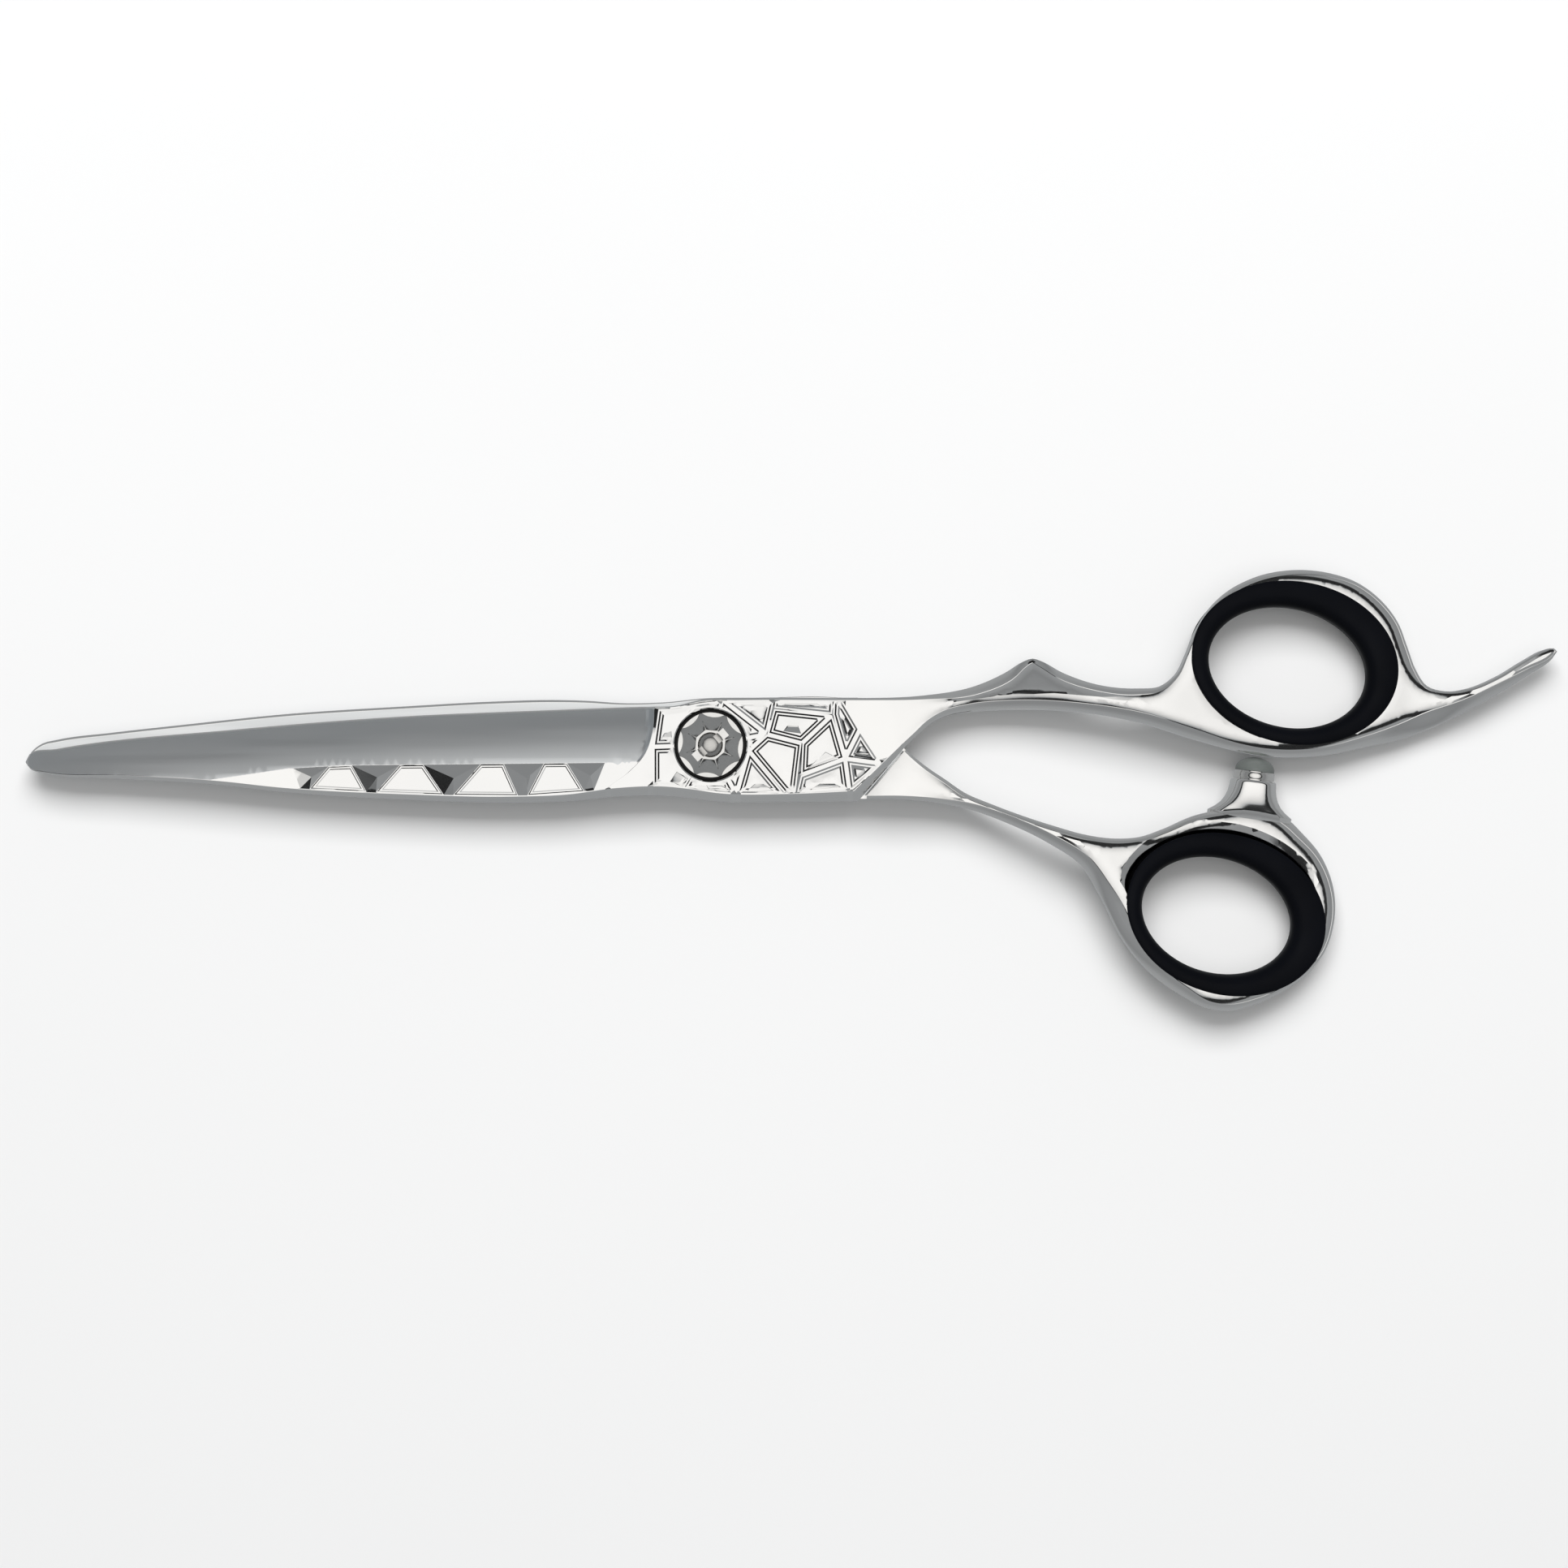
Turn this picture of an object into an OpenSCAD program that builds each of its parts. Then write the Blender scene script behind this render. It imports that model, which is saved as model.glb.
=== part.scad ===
// Hair cutting shears, closed. Millimetres, +Z up, tips towards -X, handles towards +X.
// The origin is on the pivot axis, in the flat plane that the back of the hub lies in.

/* [Steel halves] */
// Height of the plane in which the two halves slide on each other
ride_z = 3; // [2.9:0.05:3.1]
// Gap between each half and that plane
ride_gap = 0.03; // [0.02:0.01:0.05]
// Height of the front face of the hub
hub_top = 6; // [5.8:0.05:6.3]
// Gap between the end wall of each hub and the shoulder of the other half
wall_gap = 0.25; // [0.2:0.05:0.4]
// Half thickness of the finger and thumb rings
ring_half_t = 1.9; // [1.6:0.1:2]
// Tilt of the finger and thumb rings, in degrees
ring_tilt = 6; // [0:1:6]
// Height of the middle of each ring
ring_z = 3.55; // [3.5:0.05:4]

/* [Blades] */
// Angle of the ground face across the blade
grind_angle = 18.3; // [16:0.5:20]
// Height of the ground face above the ride plane, at the cutting edge beside the hub
grind_edge = 0.7; // [0.5:0.1:1]

/* [Pivot] */
// Radius of the journal that the finger half turns on
journal_r = 2.2; // [2:0.05:2.3]
// Radial running clearance of the journal in its bush
journal_gap = 0.05; // [0.02:0.01:0.08]
// Outer radius of the pivot bush
bush_r = 2.9; // [2.7:0.05:3]
// Radius of the counterbore that holds the tension dial
counterbore_r = 4.5; // [4.4:0.05:4.7]
// Radius of the tension dial
dial_r = 4.2; // [4:0.05:4.3]
// Height of the top of the tension dial
dial_top = 7.1; // [6.9:0.05:7.3]
// Number of finger scallops round the dial
dial_scallops = 8; // [6:1:10]
// Angle of the key slot in the dial
slot_angle = 40; // [0:5:175]
// Radius of the screw thread of the stud
thread_r = 1.7; // [1.6:0.05:1.8]
// Radius of the flat head of the stud
stud_head_r = 3.6; // [3.4:0.1:4]
// Distance between the two spanner holes in the stud's head
spanner_pitch = 4.4; // [4:0.1:5]

/* [Finger inserts] */
// Height of each insert above and below the middle of its ring
insert_half_t = 2.3; // [2.2:0.1:2.4]
// Share of the insert's width that sits inside the steel ring
groove_share = 0.72; // [0.68:0.02:0.74]

/* [Bumper] */
// Radius of the silicone cap
cap_r = 2.5; // [2.2:0.1:2.6]
// Height of the silicone cap
cap_h = 1.85; // [1.6:0.05:1.9]
// Height of the metal seat
seat_h = 1.1; // [0.9:0.1:1.2]
// Radius of the metal seat
seat_r = 2.6; // [2.4:0.1:2.7]
// Radius of the threaded stem
stem_r = 1; // [0.8:0.05:1.1]
// Length of the threaded stem
stem_l = 3.6; // [3:0.1:4]
// Radius of the post that the bumper screws into
post_r = 2.9; // [2.8:0.1:3]

/* [Hidden] */
$fn = 64;
steps = 3;               // points on each stretch between two outline points
oval_steps = 48;         // points round each ring opening
tiny = 0.01;
far = 40;                // size of a cutting block across the steel
reach = 120;             // size of a cutting block along the steel

// Heights in the pivot stack, from the back to the front
head_top = 1.2;
head_floor = head_top + 0.05;    // floor of the recess for the stud's head
washer_floor = ride_z - 0.42;
shelf_z = 4.4;                   // floor of the dial's counterbore
thrust_z = [shelf_z + 0.02, 4.8];
spring_z = [4.86, 5.12];
dial_z = 5.2;
stud_top = dial_top + 0.1;

// Radii and gaps in the pivot stack
side_gap = 0.1;                  // between a washer or a head and the wall round it
slide_gap = 0.05;                // between the stud's thread and what turns or slides on it
washer_r = 5;
dome_r = 1.5;
spanner_hole_r = 0.5;
spring_hub_r = 3;
spring_arm = [4, 1.2];           // reach of each arm from the axis, and its width
octagon_r = 2;
octagon_d = 0.6;
key_slot = [5.2, 1.2, 0.9];      // length, width and depth
scallop_r = 2.6;
scallop_depth = 0.65;            // how far each scallop cuts into the rim

// Outline of the finger half, clockwise from its tip: cutting edge, shank, horn, ring and tang
finger_top = [[-88, -2.2], [-87.5, -1.2], [-84, -0.5], [-61, 2], [-39, 3.7], [-20, 4.5],
    [-9, 4.9], [-4.5, 5], [-1, 5.8], [4, 6], [20, 6], [27, 6.3], [34, 7.6], [38, 9.4],
    [40.3, 10.8], [41.3, 11.1], [42.3, 10.8], [45, 9.3], [49.5, 7.7], [54.5, 7.2], [57.5, 7.5],
    [59.5, 9], [60.8, 11.5], [62, 14.5], [63.6, 17.1], [66, 19.5], [69.5, 21.4], [74.5, 22.4],
    [79, 22.1], [83, 20.8], [86, 18.6], [88.2, 15.8], [89.5, 12.5], [90.6, 9.6], [92, 7.6],
    [94.3, 6.9], [97, 7.2], [101, 8.8], [104.5, 10.9], [107, 12.2], [108.2, 12.4], [108.6, 12]];
finger_low = [[108.6, 12], [108, 11.1], [105, 9], [101, 6.5], [97, 4.3], [93, 2.3], [89, 0.8],
    [84, -0.3], [79, -1.3], [74, -1.6], [70, -1.3], [67.5, -0.8], [61.5, 0.8], [55, 2.8],
    [48, 4.1], [38, 4.5], [33, 4.2], [30, 3.6], [28, 2.6], [26.5, 1.3], [25.1, 0]];
finger_spine = [[18.9, -7.2], [10, -7.3], [0.5, -7.2], [-2.5, -6.8], [-6, -6.5], [-12, -6.6],
    [-18, -7.2], [-26, -7.4], [-39, -7], [-55, -6], [-63, -5.1], [-76, -4.3], [-85, -3.7],
    [-87.2, -3.1], [-88, -2.2]];

// Outline of the thumb half, clockwise from its tip: cutting edge, shank up to the flared foot of
// the post, then ring, shank and spine
thumb_top = [[-88, -2], [-87.4, -0.9], [-86, 0.2], [-84, 0.7], [-77, 1.6], [-68, 2.6],
    [-54.5, 4], [-39, 5], [-28, 5.6], [-20, 5.8], [-16, 5.7], [-11.5, 5.4], [-6, 5.5], [-1, 6],
    [6, 6.1], [18.9, 6.1]];
thumb_shank = [[25, -0.6], [27.5, -2.7], [30, -4.4], [32.5, -6.1], [36, -7.6], [40, -9.1],
    [44, -10.4], [48, -11.5], [52, -12], [55, -11.8], [58, -10.8], [62, -9.3], [64.2, -8.7],
    [65.2, -8], [65.9, -6.8], [66.3, -5.5], [66.6, -4.8]];
thumb_ring = [[72.6, -5.4], [73, -6.6], [73.3, -8], [74, -9.6], [76, -11.4], [78.2, -14], [79.6, -17], [80.2, -20.3], [79.9, -23.5],
    [78.8, -26.6], [76.6, -29.3], [73.4, -31.6], [70, -33.2], [66.5, -34.1], [63.5, -33.7],
    [60.3, -32.1], [57, -29.8], [54.5, -27.3], [52.3, -24.2], [50.7, -21], [49.4, -18.5],
    [47.5, -15.5], [43.5, -12.7], [38, -10], [33, -8.2], [29, -7.4], [24.9, -7], [18.9, -6.9],
    [10, -6.9], [0, -6.9], [-3, -6.5], [-7, -5.9], [-12, -5.6], [-39, -4.9], [-60, -4.1],
    [-84, -3], [-87.2, -2.7], [-88, -2]];

// End walls of the two hubs: bottom to top for the finger half, top to bottom for the thumb half
finger_wall = [[18.9, -7.2], [25.1, 0]];
thumb_wall = [[18.9, 6.1], [25, -0.6]];

// Where each ground face meets its cutting edge beside the hub, and its fall towards the tip
finger_edge = [-9, 4.9];
thumb_edge = [-9, 5.7];
finger_fall = 1.5;
thumb_fall = 1;

// Ground part of each blade, seen from above, ending in the run-out curve beside the hub
grind_end = [[-7.2, 7], [-7.2, 4.8], [-7.4, 1.8], [-8.4, -1.2], [-10.6, -3.6], [-13, -5.4],
    [-15, -8]];

// Ring openings as [centre, half length, half width, angle]: the hole, and the insert's lip
finger_hole = [[74, 9.9], 10.4, 7.6, -13];
finger_lip = [[74.8, 10.5], 13.5, 10.4, -10];
thumb_hole = [[64.9, -21.9], 9.9, 7.3, -17];
thumb_lip = [[66, -21.7], 13.1, 10.2, -17];

// Insert's section as [share of the width from the hole to the lip, share of the half height]
lip_under = ring_half_t + 0.05;
insert_section = [[0, -0.3], [0, 0.3], [0.08, 0.68], [0.28, 0.93], [0.55, 1], [0.85, 0.98],
    [1, 0.92], [1, lip_under / insert_half_t], [groove_share, lip_under / insert_half_t],
    [groove_share, -lip_under / insert_half_t], [1, -lip_under / insert_half_t], [1, -0.92],
    [0.85, -0.98], [0.55, -1], [0.28, -0.93], [0.08, -0.68]];

// The bumper stands on a post of the thumb ring, leaning a little towards the handle end
bumper_base = [69.7, -4.5, 3.5];
bumper_lean = 7;
post_l = 6.5;
socket_r = 1.5;          // recess in the seat that the cap's foot fits
socket_d = 0.7;

function smooth(a, b, x) = let(t = min(1, max(0, (x - a) / (b - a)))) t * t * (3 - 2 * t);
function mix(a, b, t) = a + (b - a) * t;

// Unit chord from one outline point to the next, and the tangent at a point of an open run
function chord(p, i) = (p[i + 1] - p[i]) / norm(p[i + 1] - p[i]);
function tangent(p, i) =
    i == 0 ? chord(p, 0)
    : i == len(p) - 1 ? chord(p, i - 1)
    : let(a = norm(p[i] - p[i - 1]), b = norm(p[i + 1] - p[i]))
      (chord(p, i - 1) * b + chord(p, i) * a) / (a + b);

// A smooth curve through a run of points, without its last point
function run(p) = [for (i = [0:len(p) - 2]) for (j = [0:steps - 1])
    let(t = j / steps, s = norm(p[i + 1] - p[i]))
    p[i] * (1 + 2 * t) * (1 - t) ^ 2 + tangent(p, i) * s * t * (1 - t) ^ 2
    + p[i + 1] * t ^ 2 * (3 - 2 * t) + tangent(p, i + 1) * s * t ^ 2 * (t - 1)];

function oval(o) = [for (k = [0:oval_steps - 1])
    let(t = -360 * k / oval_steps, u = o[1] * cos(t), v = o[2] * sin(t))
    o[0] + [u * cos(o[3]) - v * sin(o[3]), u * sin(o[3]) + v * cos(o[3])]];

// Height of the middle of a ring that falls towards the handle end
function ring_plane(x, c) = ring_z - tan(ring_tilt) * (x - c.x);

// Middle height and half thickness of each half along its handle
function finger_mid(x) = mix(mix(ride_z, ring_plane(x, finger_lip[0]), smooth(34, 60, x)),
    ride_z, smooth(89, 99, x));
function thumb_mid(x) = mix(ride_z, ring_plane(x, thumb_lip[0]), smooth(30, 51, x));
function half_t(x) = lookup(x, [[22, hub_top - ride_z], [34, 2.4], [46, 2.1],
    [50, ring_half_t], [96, ring_half_t], [108.6, 1.3]]);

// Side view of each half, from the shoulder to the handle end
profile_x = [for (x = [22:4:110]) x];
finger_profile = concat([[-reach, 0], [-reach, hub_top]],
    [for (x = profile_x) [x, finger_mid(x) + half_t(x)]],
    [for (k = [1:len(profile_x)]) let(x = profile_x[len(profile_x) - k])
        [x, finger_mid(x) - half_t(x)]]);
thumb_profile = concat([[-reach, 0], [-reach, hub_top]],
    [for (x = profile_x) [x, thumb_mid(x) + half_t(x)]],
    [for (k = [1:len(profile_x)]) let(x = profile_x[len(profile_x) - k])
        [x, thumb_mid(x) - half_t(x)]]);

// Steel of the outline seen from above and of the profile seen from the side
module forging(outline, profile) {
    intersection() {
        translate([0, 0, -far])
            linear_extrude(2 * far)
                polygon(outline);
        translate([0, far, 0])
            rotate([90, 0, 0])
                linear_extrude(2 * far)
                    polygon(profile);
    }
}

// Everything on one side of a hub's end wall, from one height to another
module wall_block(wall, z0, z1) {
    d = (wall[1] - wall[0]) / norm(wall[1] - wall[0]);
    side = [d.y, -d.x] * wall_gap;
    a = wall[0] - d * far + side;
    b = wall[1] + d * far + side;
    translate([0, 0, z0])
        linear_extrude(z1 - z0)
            polygon([a, b, [-reach, b.y], [-reach, a.y]]);
}

// The space in front of the ground face of a blade; a face tilts down to its cutting edge
module grind_block(edge, fall) {
    intersection() {
        translate([0, 0, -far])
            linear_extrude(2 * far)
                polygon(concat([[-reach, 12]], run(grind_end), [[-15, -12], [-reach, -12]]));
        translate([edge.x, edge.y, ride_z + grind_edge])
            rotate([-grind_angle, -fall, 0])
                translate([-reach, -far, 0])
                    cube([2 * reach, 2 * far, far]);
    }
}

module ring_opening(hole, lip) {
    a = oval(hole);
    b = oval(lip);
    share = groove_share + 0.02;
    translate([0, 0, -far])
        linear_extrude(2 * far)
            polygon([for (k = [0:oval_steps - 1]) mix(a[k], b[k], share)]);
}

module finger_half() {
    o = concat(run(finger_top), run(finger_low), [finger_low[len(finger_low) - 1]],
        run(finger_spine));
    color("gainsboro")
        difference() {
            forging(o, finger_profile);
            wall_block([thumb_wall[1], thumb_wall[0]], -far, ride_z + ride_gap);
            grind_block(finger_edge, finger_fall);
            ring_opening(finger_hole, finger_lip);
            translate([0, 0, -tiny])
                cylinder(r = bush_r, h = hub_top);
            translate([0, 0, shelf_z])
                cylinder(r = counterbore_r, h = far);
        }
}

module thumb_half() {
    o = concat(run(thumb_top), [thumb_top[len(thumb_top) - 1]], run(thumb_shank),
        [thumb_shank[len(thumb_shank) - 1]], run(thumb_ring));
    color("gainsboro")
        difference() {
            union() {
                forging(o, thumb_profile);
                bumper_axis()
                    translate([0, 0, -post_l])
                        cylinder(r = post_r, h = post_l);
            }
            wall_block(finger_wall, ride_z - ride_gap, far);
            translate([0, 0, 2 * ride_z])
                mirror([0, 0, 1])
                    mirror([0, 1, 0])
                        grind_block(thumb_edge, thumb_fall);
            ring_opening(thumb_hole, thumb_lip);
            translate([0, 0, -tiny])
                cylinder(r = journal_r, h = hub_top);
            translate([0, 0, -far])
                cylinder(r = stud_head_r + side_gap, h = far + head_floor);
            translate([0, 0, washer_floor])
                cylinder(r = washer_r + side_gap, h = hub_top);
            bumper_axis()
                translate([0, 0, -stem_l - 2 * side_gap])
                    cylinder(r = stem_r, h = 2 * stem_l);
        }
}

module pivot_stud() {
    color("silver")
        difference() {
            rotate_extrude()
                polygon([[0, 0], [stud_head_r - 0.2, 0], [stud_head_r, 0.2],
                    [stud_head_r, head_top], [journal_r, head_top], [journal_r, thrust_z[1]],
                    [thread_r, thrust_z[1]], [thread_r, stud_top - 0.8],
                    [dome_r, stud_top - 0.6], [0.8 * dome_r, stud_top - 0.25],
                    [0.45 * dome_r, stud_top - 0.05], [0, stud_top]]);
            for (side = [-1, 1])
                translate([side * spanner_pitch / 2, 0, -tiny])
                    cylinder(r = spanner_hole_r, h = head_top / 2);
        }
}

module flat_ring(r_out, r_in, z0, z1) {
    translate([0, 0, z0])
        difference() {
            cylinder(r = r_out, h = z1 - z0);
            translate([0, 0, -tiny])
                cylinder(r = r_in, h = z1 - z0 + 2 * tiny);
        }
}

module ride_washer() {
    color("ivory")
        flat_ring(washer_r, journal_r + side_gap, washer_floor, ride_z);
}

module pivot_bush() {
    color("goldenrod")
        flat_ring(bush_r, journal_r + journal_gap, ride_z + ride_gap, shelf_z);
}

module thrust_washer() {
    color("ivory")
        flat_ring(counterbore_r - side_gap, journal_r + side_gap, thrust_z[0], thrust_z[1]);
}

module click_spring() {
    color("slategray")
        translate([0, 0, spring_z[0]])
            difference() {
                union() {
                    cylinder(r = spring_hub_r, h = spring_z[1] - spring_z[0]);
                    for (k = [0:dial_scallops - 1])
                        rotate(k * 360 / dial_scallops)
                            translate([spring_hub_r - 0.5, -spring_arm[1] / 2, 0])
                                cube([spring_arm[0] - spring_hub_r + 0.5, spring_arm[1],
                                    spring_z[1] - spring_z[0]]);
                }
                translate([0, 0, -tiny])
                    cylinder(r = thread_r + slide_gap, h = 1);
            }
}

module tension_dial() {
    color("gray")
        difference() {
            rotate_extrude()
                polygon([[thread_r + slide_gap, dial_z], [dial_r - 0.1, dial_z],
                    [dial_r, dial_z + 0.1], [dial_r, dial_top - 0.7],
                    [dial_r - 0.4, dial_top - 0.2], [octagon_r + 0.2, dial_top],
                    [thread_r + slide_gap, dial_top]]);
            for (k = [0:dial_scallops - 1])
                rotate(k * 360 / dial_scallops + slot_angle)
                    translate([dial_r - scallop_depth + scallop_r, 0, dial_top - 1.2])
                        cylinder(r = scallop_r, h = 4);
            rotate(slot_angle + 22.5)
                translate([0, 0, dial_top - octagon_d])
                    cylinder(r = octagon_r, h = 1, $fn = 8);
            rotate(slot_angle)
                translate([-key_slot[0] / 2, -key_slot[1] / 2, dial_top - key_slot[2]])
                    cube(key_slot + [0, 0, 1]);
        }
}

// A rubber ring that grips both faces of a steel ring
module insert(hole, lip) {
    a = oval(hole);
    b = oval(lip);
    m = len(insert_section);
    points = [for (k = [0:oval_steps - 1]) for (s = insert_section)
        let(p = mix(a[k], b[k], s[0]))
        [p.x, p.y, ring_plane(p.x, lip[0]) + s[1] * insert_half_t]];
    faces = [for (k = [0:oval_steps - 1]) for (i = [0:m - 1])
        let(k2 = (k + 1) % oval_steps, j = (i + 1) % m)
        for (f = [[k * m + i, k * m + j, k2 * m + j], [k * m + i, k2 * m + j, k2 * m + i]]) f];
    polyhedron(points, faces, convexity = 10);
}

module finger_insert() {
    color("#15171b")
        insert(finger_hole, finger_lip);
}

module thumb_insert() {
    color("#15171b")
        insert(thumb_hole, thumb_lip);
}

// Local +Z runs from the post's flat end towards the finger ring
module bumper_axis() {
    translate(bumper_base)
        rotate([-90, 0, -bumper_lean])
            children();
}

module bumper_seat() {
    color("lightgray")
        bumper_axis()
            difference() {
                union() {
                    cylinder(r = seat_r, h = seat_h);
                    translate([0, 0, -stem_l])
                        cylinder(r = stem_r, h = stem_l + tiny);
                }
                translate([0, 0, seat_h - socket_d])
                    cylinder(r = socket_r, h = 1);
            }
}

module bumper_cap() {
    color("#7d8580")
        bumper_axis()
            rotate_extrude()
                polygon(concat([[0, seat_h - socket_d], [socket_r, seat_h - socket_d],
                    [socket_r, seat_h], [cap_r, seat_h]],
                    [for (t = [0:10:90]) [cap_r * cos(t), seat_h + 0.2 + (cap_h - 0.2) * sin(t)]]));
}

finger_half();
thumb_half();
pivot_stud();
ride_washer();
pivot_bush();
thrust_washer();
click_spring();
tension_dial();
finger_insert();
thumb_insert();
bumper_seat();
bumper_cap();
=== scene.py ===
"""Hair cutting shears: the looks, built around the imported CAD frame. Lengths below are millimetres."""

import math

import bmesh
import bpy
import numpy as np
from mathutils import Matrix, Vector
from mathutils.geometry import delaunay_2d_cdt


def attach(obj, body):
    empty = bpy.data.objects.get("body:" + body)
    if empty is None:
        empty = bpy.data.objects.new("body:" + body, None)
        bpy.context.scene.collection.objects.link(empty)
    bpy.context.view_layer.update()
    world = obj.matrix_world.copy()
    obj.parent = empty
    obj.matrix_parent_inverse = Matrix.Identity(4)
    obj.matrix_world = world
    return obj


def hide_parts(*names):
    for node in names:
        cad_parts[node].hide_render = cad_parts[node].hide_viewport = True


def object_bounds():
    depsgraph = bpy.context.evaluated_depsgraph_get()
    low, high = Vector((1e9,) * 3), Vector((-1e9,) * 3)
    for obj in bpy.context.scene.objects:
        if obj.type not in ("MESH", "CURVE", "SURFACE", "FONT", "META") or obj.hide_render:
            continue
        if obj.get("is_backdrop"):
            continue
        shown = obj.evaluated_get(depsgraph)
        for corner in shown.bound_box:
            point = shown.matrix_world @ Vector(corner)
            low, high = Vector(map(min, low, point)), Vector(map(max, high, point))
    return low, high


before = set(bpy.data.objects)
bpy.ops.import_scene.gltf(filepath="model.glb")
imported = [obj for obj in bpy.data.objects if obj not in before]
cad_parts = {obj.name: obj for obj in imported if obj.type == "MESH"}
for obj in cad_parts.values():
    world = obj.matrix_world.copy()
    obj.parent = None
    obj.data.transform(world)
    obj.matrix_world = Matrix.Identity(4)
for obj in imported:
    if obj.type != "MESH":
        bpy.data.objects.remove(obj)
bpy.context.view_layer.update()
MM = 0.001

# ---- Driving dimensions, as in the CAD part ----
RIDE_Z = 3.0            # plane in which the two halves slide
RIDE_GAP = 0.03
HUB_TOP = 6.0
WALL_GAP = 0.25
RING_HALF_T = 1.9
RING_TILT = math.tan(math.radians(6))
RING_Z = 3.55
GROOVE_SHARE = 0.74     # how much of an insert's width the steel ring stands off its hole
INSERT_HALF_T = 2.3
SHELF_Z = 4.4
BUSH_R = 2.9
WASHER_R = 5.1
WASHER_FLOOR = 2.58
HEAD_R = 3.7
HEAD_FLOOR = 1.25
JOURNAL_R = 2.2
JOURNAL_TOP = 4.8
DIAL_TOP = 7.1
DIAL_Z = 5.2
DIAL_BORE_R = 1.75
SLOT_ANGLE = 40.0
SCALLOPS = 8
SCALLOP_R = 2.6
SCALLOP_DEPTH = 0.65
SCALLOP_Z = 5.9         # top of the dial's plain rim, below the scallops
OCTAGON_R = 2.0
OCTAGON_Z = 6.5
THREAD_R = 1.7
THREAD_TOP = 6.15
STUD_TOP = 7.2
STUD_HEAD_R = 3.6
HEAD_TOP = 1.2
DOME_R, DOME_H = 1.5, 0.6
SPANNER_PITCH, SPANNER_R = 4.4, 0.5
BUMPER_BASE = (69.7, -4.5, 3.5)
BUMPER_LEAN = math.radians(7)
SEAT_R, SEAT_H, STEM_L = 2.6, 1.1, 3.6
CAP_R, CAP_H = 2.5, 1.85
SOCKET_R, SOCKET_DEPTH = 1.5, 0.7
EDGE_Z = (0.55, 0.7)    # height of the ground face at the cutting edge, near the tip and near the hub
GRIND_SLOPE = 0.43      # rise of the ground face away from the edge, and how much it flattens out
GRIND_BEND = 0.0165
RUN_OUT = 1.3           # how fast the ground face runs out before the hub
HANDLE_X = 22           # the handles start here, behind the hub

# ---- Details of the looks ----
COUNTERBORE_R = 4.58    # the gap round the dial is 0.11 wider than in CAD, to show as a dark ring
DIAL_R = 4.17
DIAL_SLOPE = 0.27       # fall of the dial's ridges, and how much more its facets fall
DIAL_HOLLOW = 0.16
NOTCH = (0.95, 2.62, 1.2)   # near end, far end and width of each key notch
NOTCH_Z = 6.2
FLANK_SLOPE = 0.75      # fall of the narrow flanks, per millimetre across
FLANK_SHARE = 0.72      # most that a flank falls, as a share of the way to the middle of the steel
FLANK_ROWS = (.1, .35, .6, .8, .93, 1)
FACE_ROWS = (.3, .7, 1.2, 1.8)  # distances from the ridge of the lines that carry a handle's swell
BEVEL = 0.05            # half width of the bevel along a ridge
FORGING_ANGLE = 12      # steel edges sharper than this many degrees stay sharp
CHAMFER_SLOPE = 0.42
THUMB_CHAMFER = 2.3     # width of the chamfer round the +y side of the thumb ring's opening
CHAMFER_FADE = (.1, .45)
CROWN, CROWN_WIDTH = 0.28, 1.6
STEP_HALF = 0.08        # half width of the step between a half's thin and thick parts

# ---- Outlines: x, y, width of the front flank, width of the back flank; clockwise from above ----
FINGER_TOP = [
    (-88, -2.2, .10, .04), (-87.5, -1.2, .12, .04), (-84, -.5, .14, .04), (-61, 2, .16, .04),
    (-39, 3.7, .16, .04), (-20, 4.5, .16, .04), (-9, 4.9, .16, .04), (-4.5, 5, .14, .04),
    (-1, 5.8, .22, .04), (4, 6, .3, .04), (18, 6, .3, .04)]
FINGER_SHANK = [
    (20.5, 6, .3, .3), (27, 6.3, .5, .5), (34, 7.6, 1.1, 1), (38, 9.4, 1.2, 1.1), (40.3, 10.8, .7, .7),
    (41.3, 11.1, .5, .5), (42.3, 10.8, .7, .7), (45, 9.3, .9, .9), (49.5, 7.7, .8, .8),
    (54.5, 7.2, .8, .8), (57.5, 7.5, .6, .6), (59.5, 9, .3, .3), (60.8, 11.5, .15, .15),
    (62, 14.5, .2, .2), (63.6, 17.1, .35, .35), (66, 19.5, .55, .55), (69.5, 21.4, .65, .65),
    (74.5, 22.4, .6, .65), (79, 22.1, .5, .7), (83, 20.8, .4, .8), (86, 18.6, .35, .8),
    (88.2, 15.8, .3, .7), (89.5, 12.5, .3, .5), (90.6, 9.6, .3, .4), (92, 7.6, .35, .4),
    (94.3, 6.9, .3, .4), (97, 7.2, .3, .4), (101, 8.8, .3, .4), (104.5, 10.9, .25, .35),
    (107, 12.2, .2, .25), (108.2, 12.4, .15, .15), (108.6, 12, .12, .12)]
FINGER_LOW = [
    (108.6, 12, .12, .12), (108, 11.1, .3, .3), (105, 9, .8, .6), (101, 6.5, 1.3, .9),
    (97, 4.3, 1.6, 1), (93, 2.3, 2.2, 1.1), (89, .8, 2, 1.1), (84, -.3, 1.4, 1.1),
    (79, -1.3, 1.1, 1), (74, -1.6, 1, 1), (70, -1.3, 1, 1), (67.5, -.8, 1, 1), (61.5, .8, 1.3, 1),
    (55, 2.8, 1.3, 1), (48, 4.1, 1.15, 1), (38, 4.5, 1.2, 1), (33, 4.2, 1, .8), (30, 3.6, .8, .6),
    (28, 2.6, .6, .5), (26.5, 1.3, .5, .5), (25.1, 0, .5, .3)]
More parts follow.
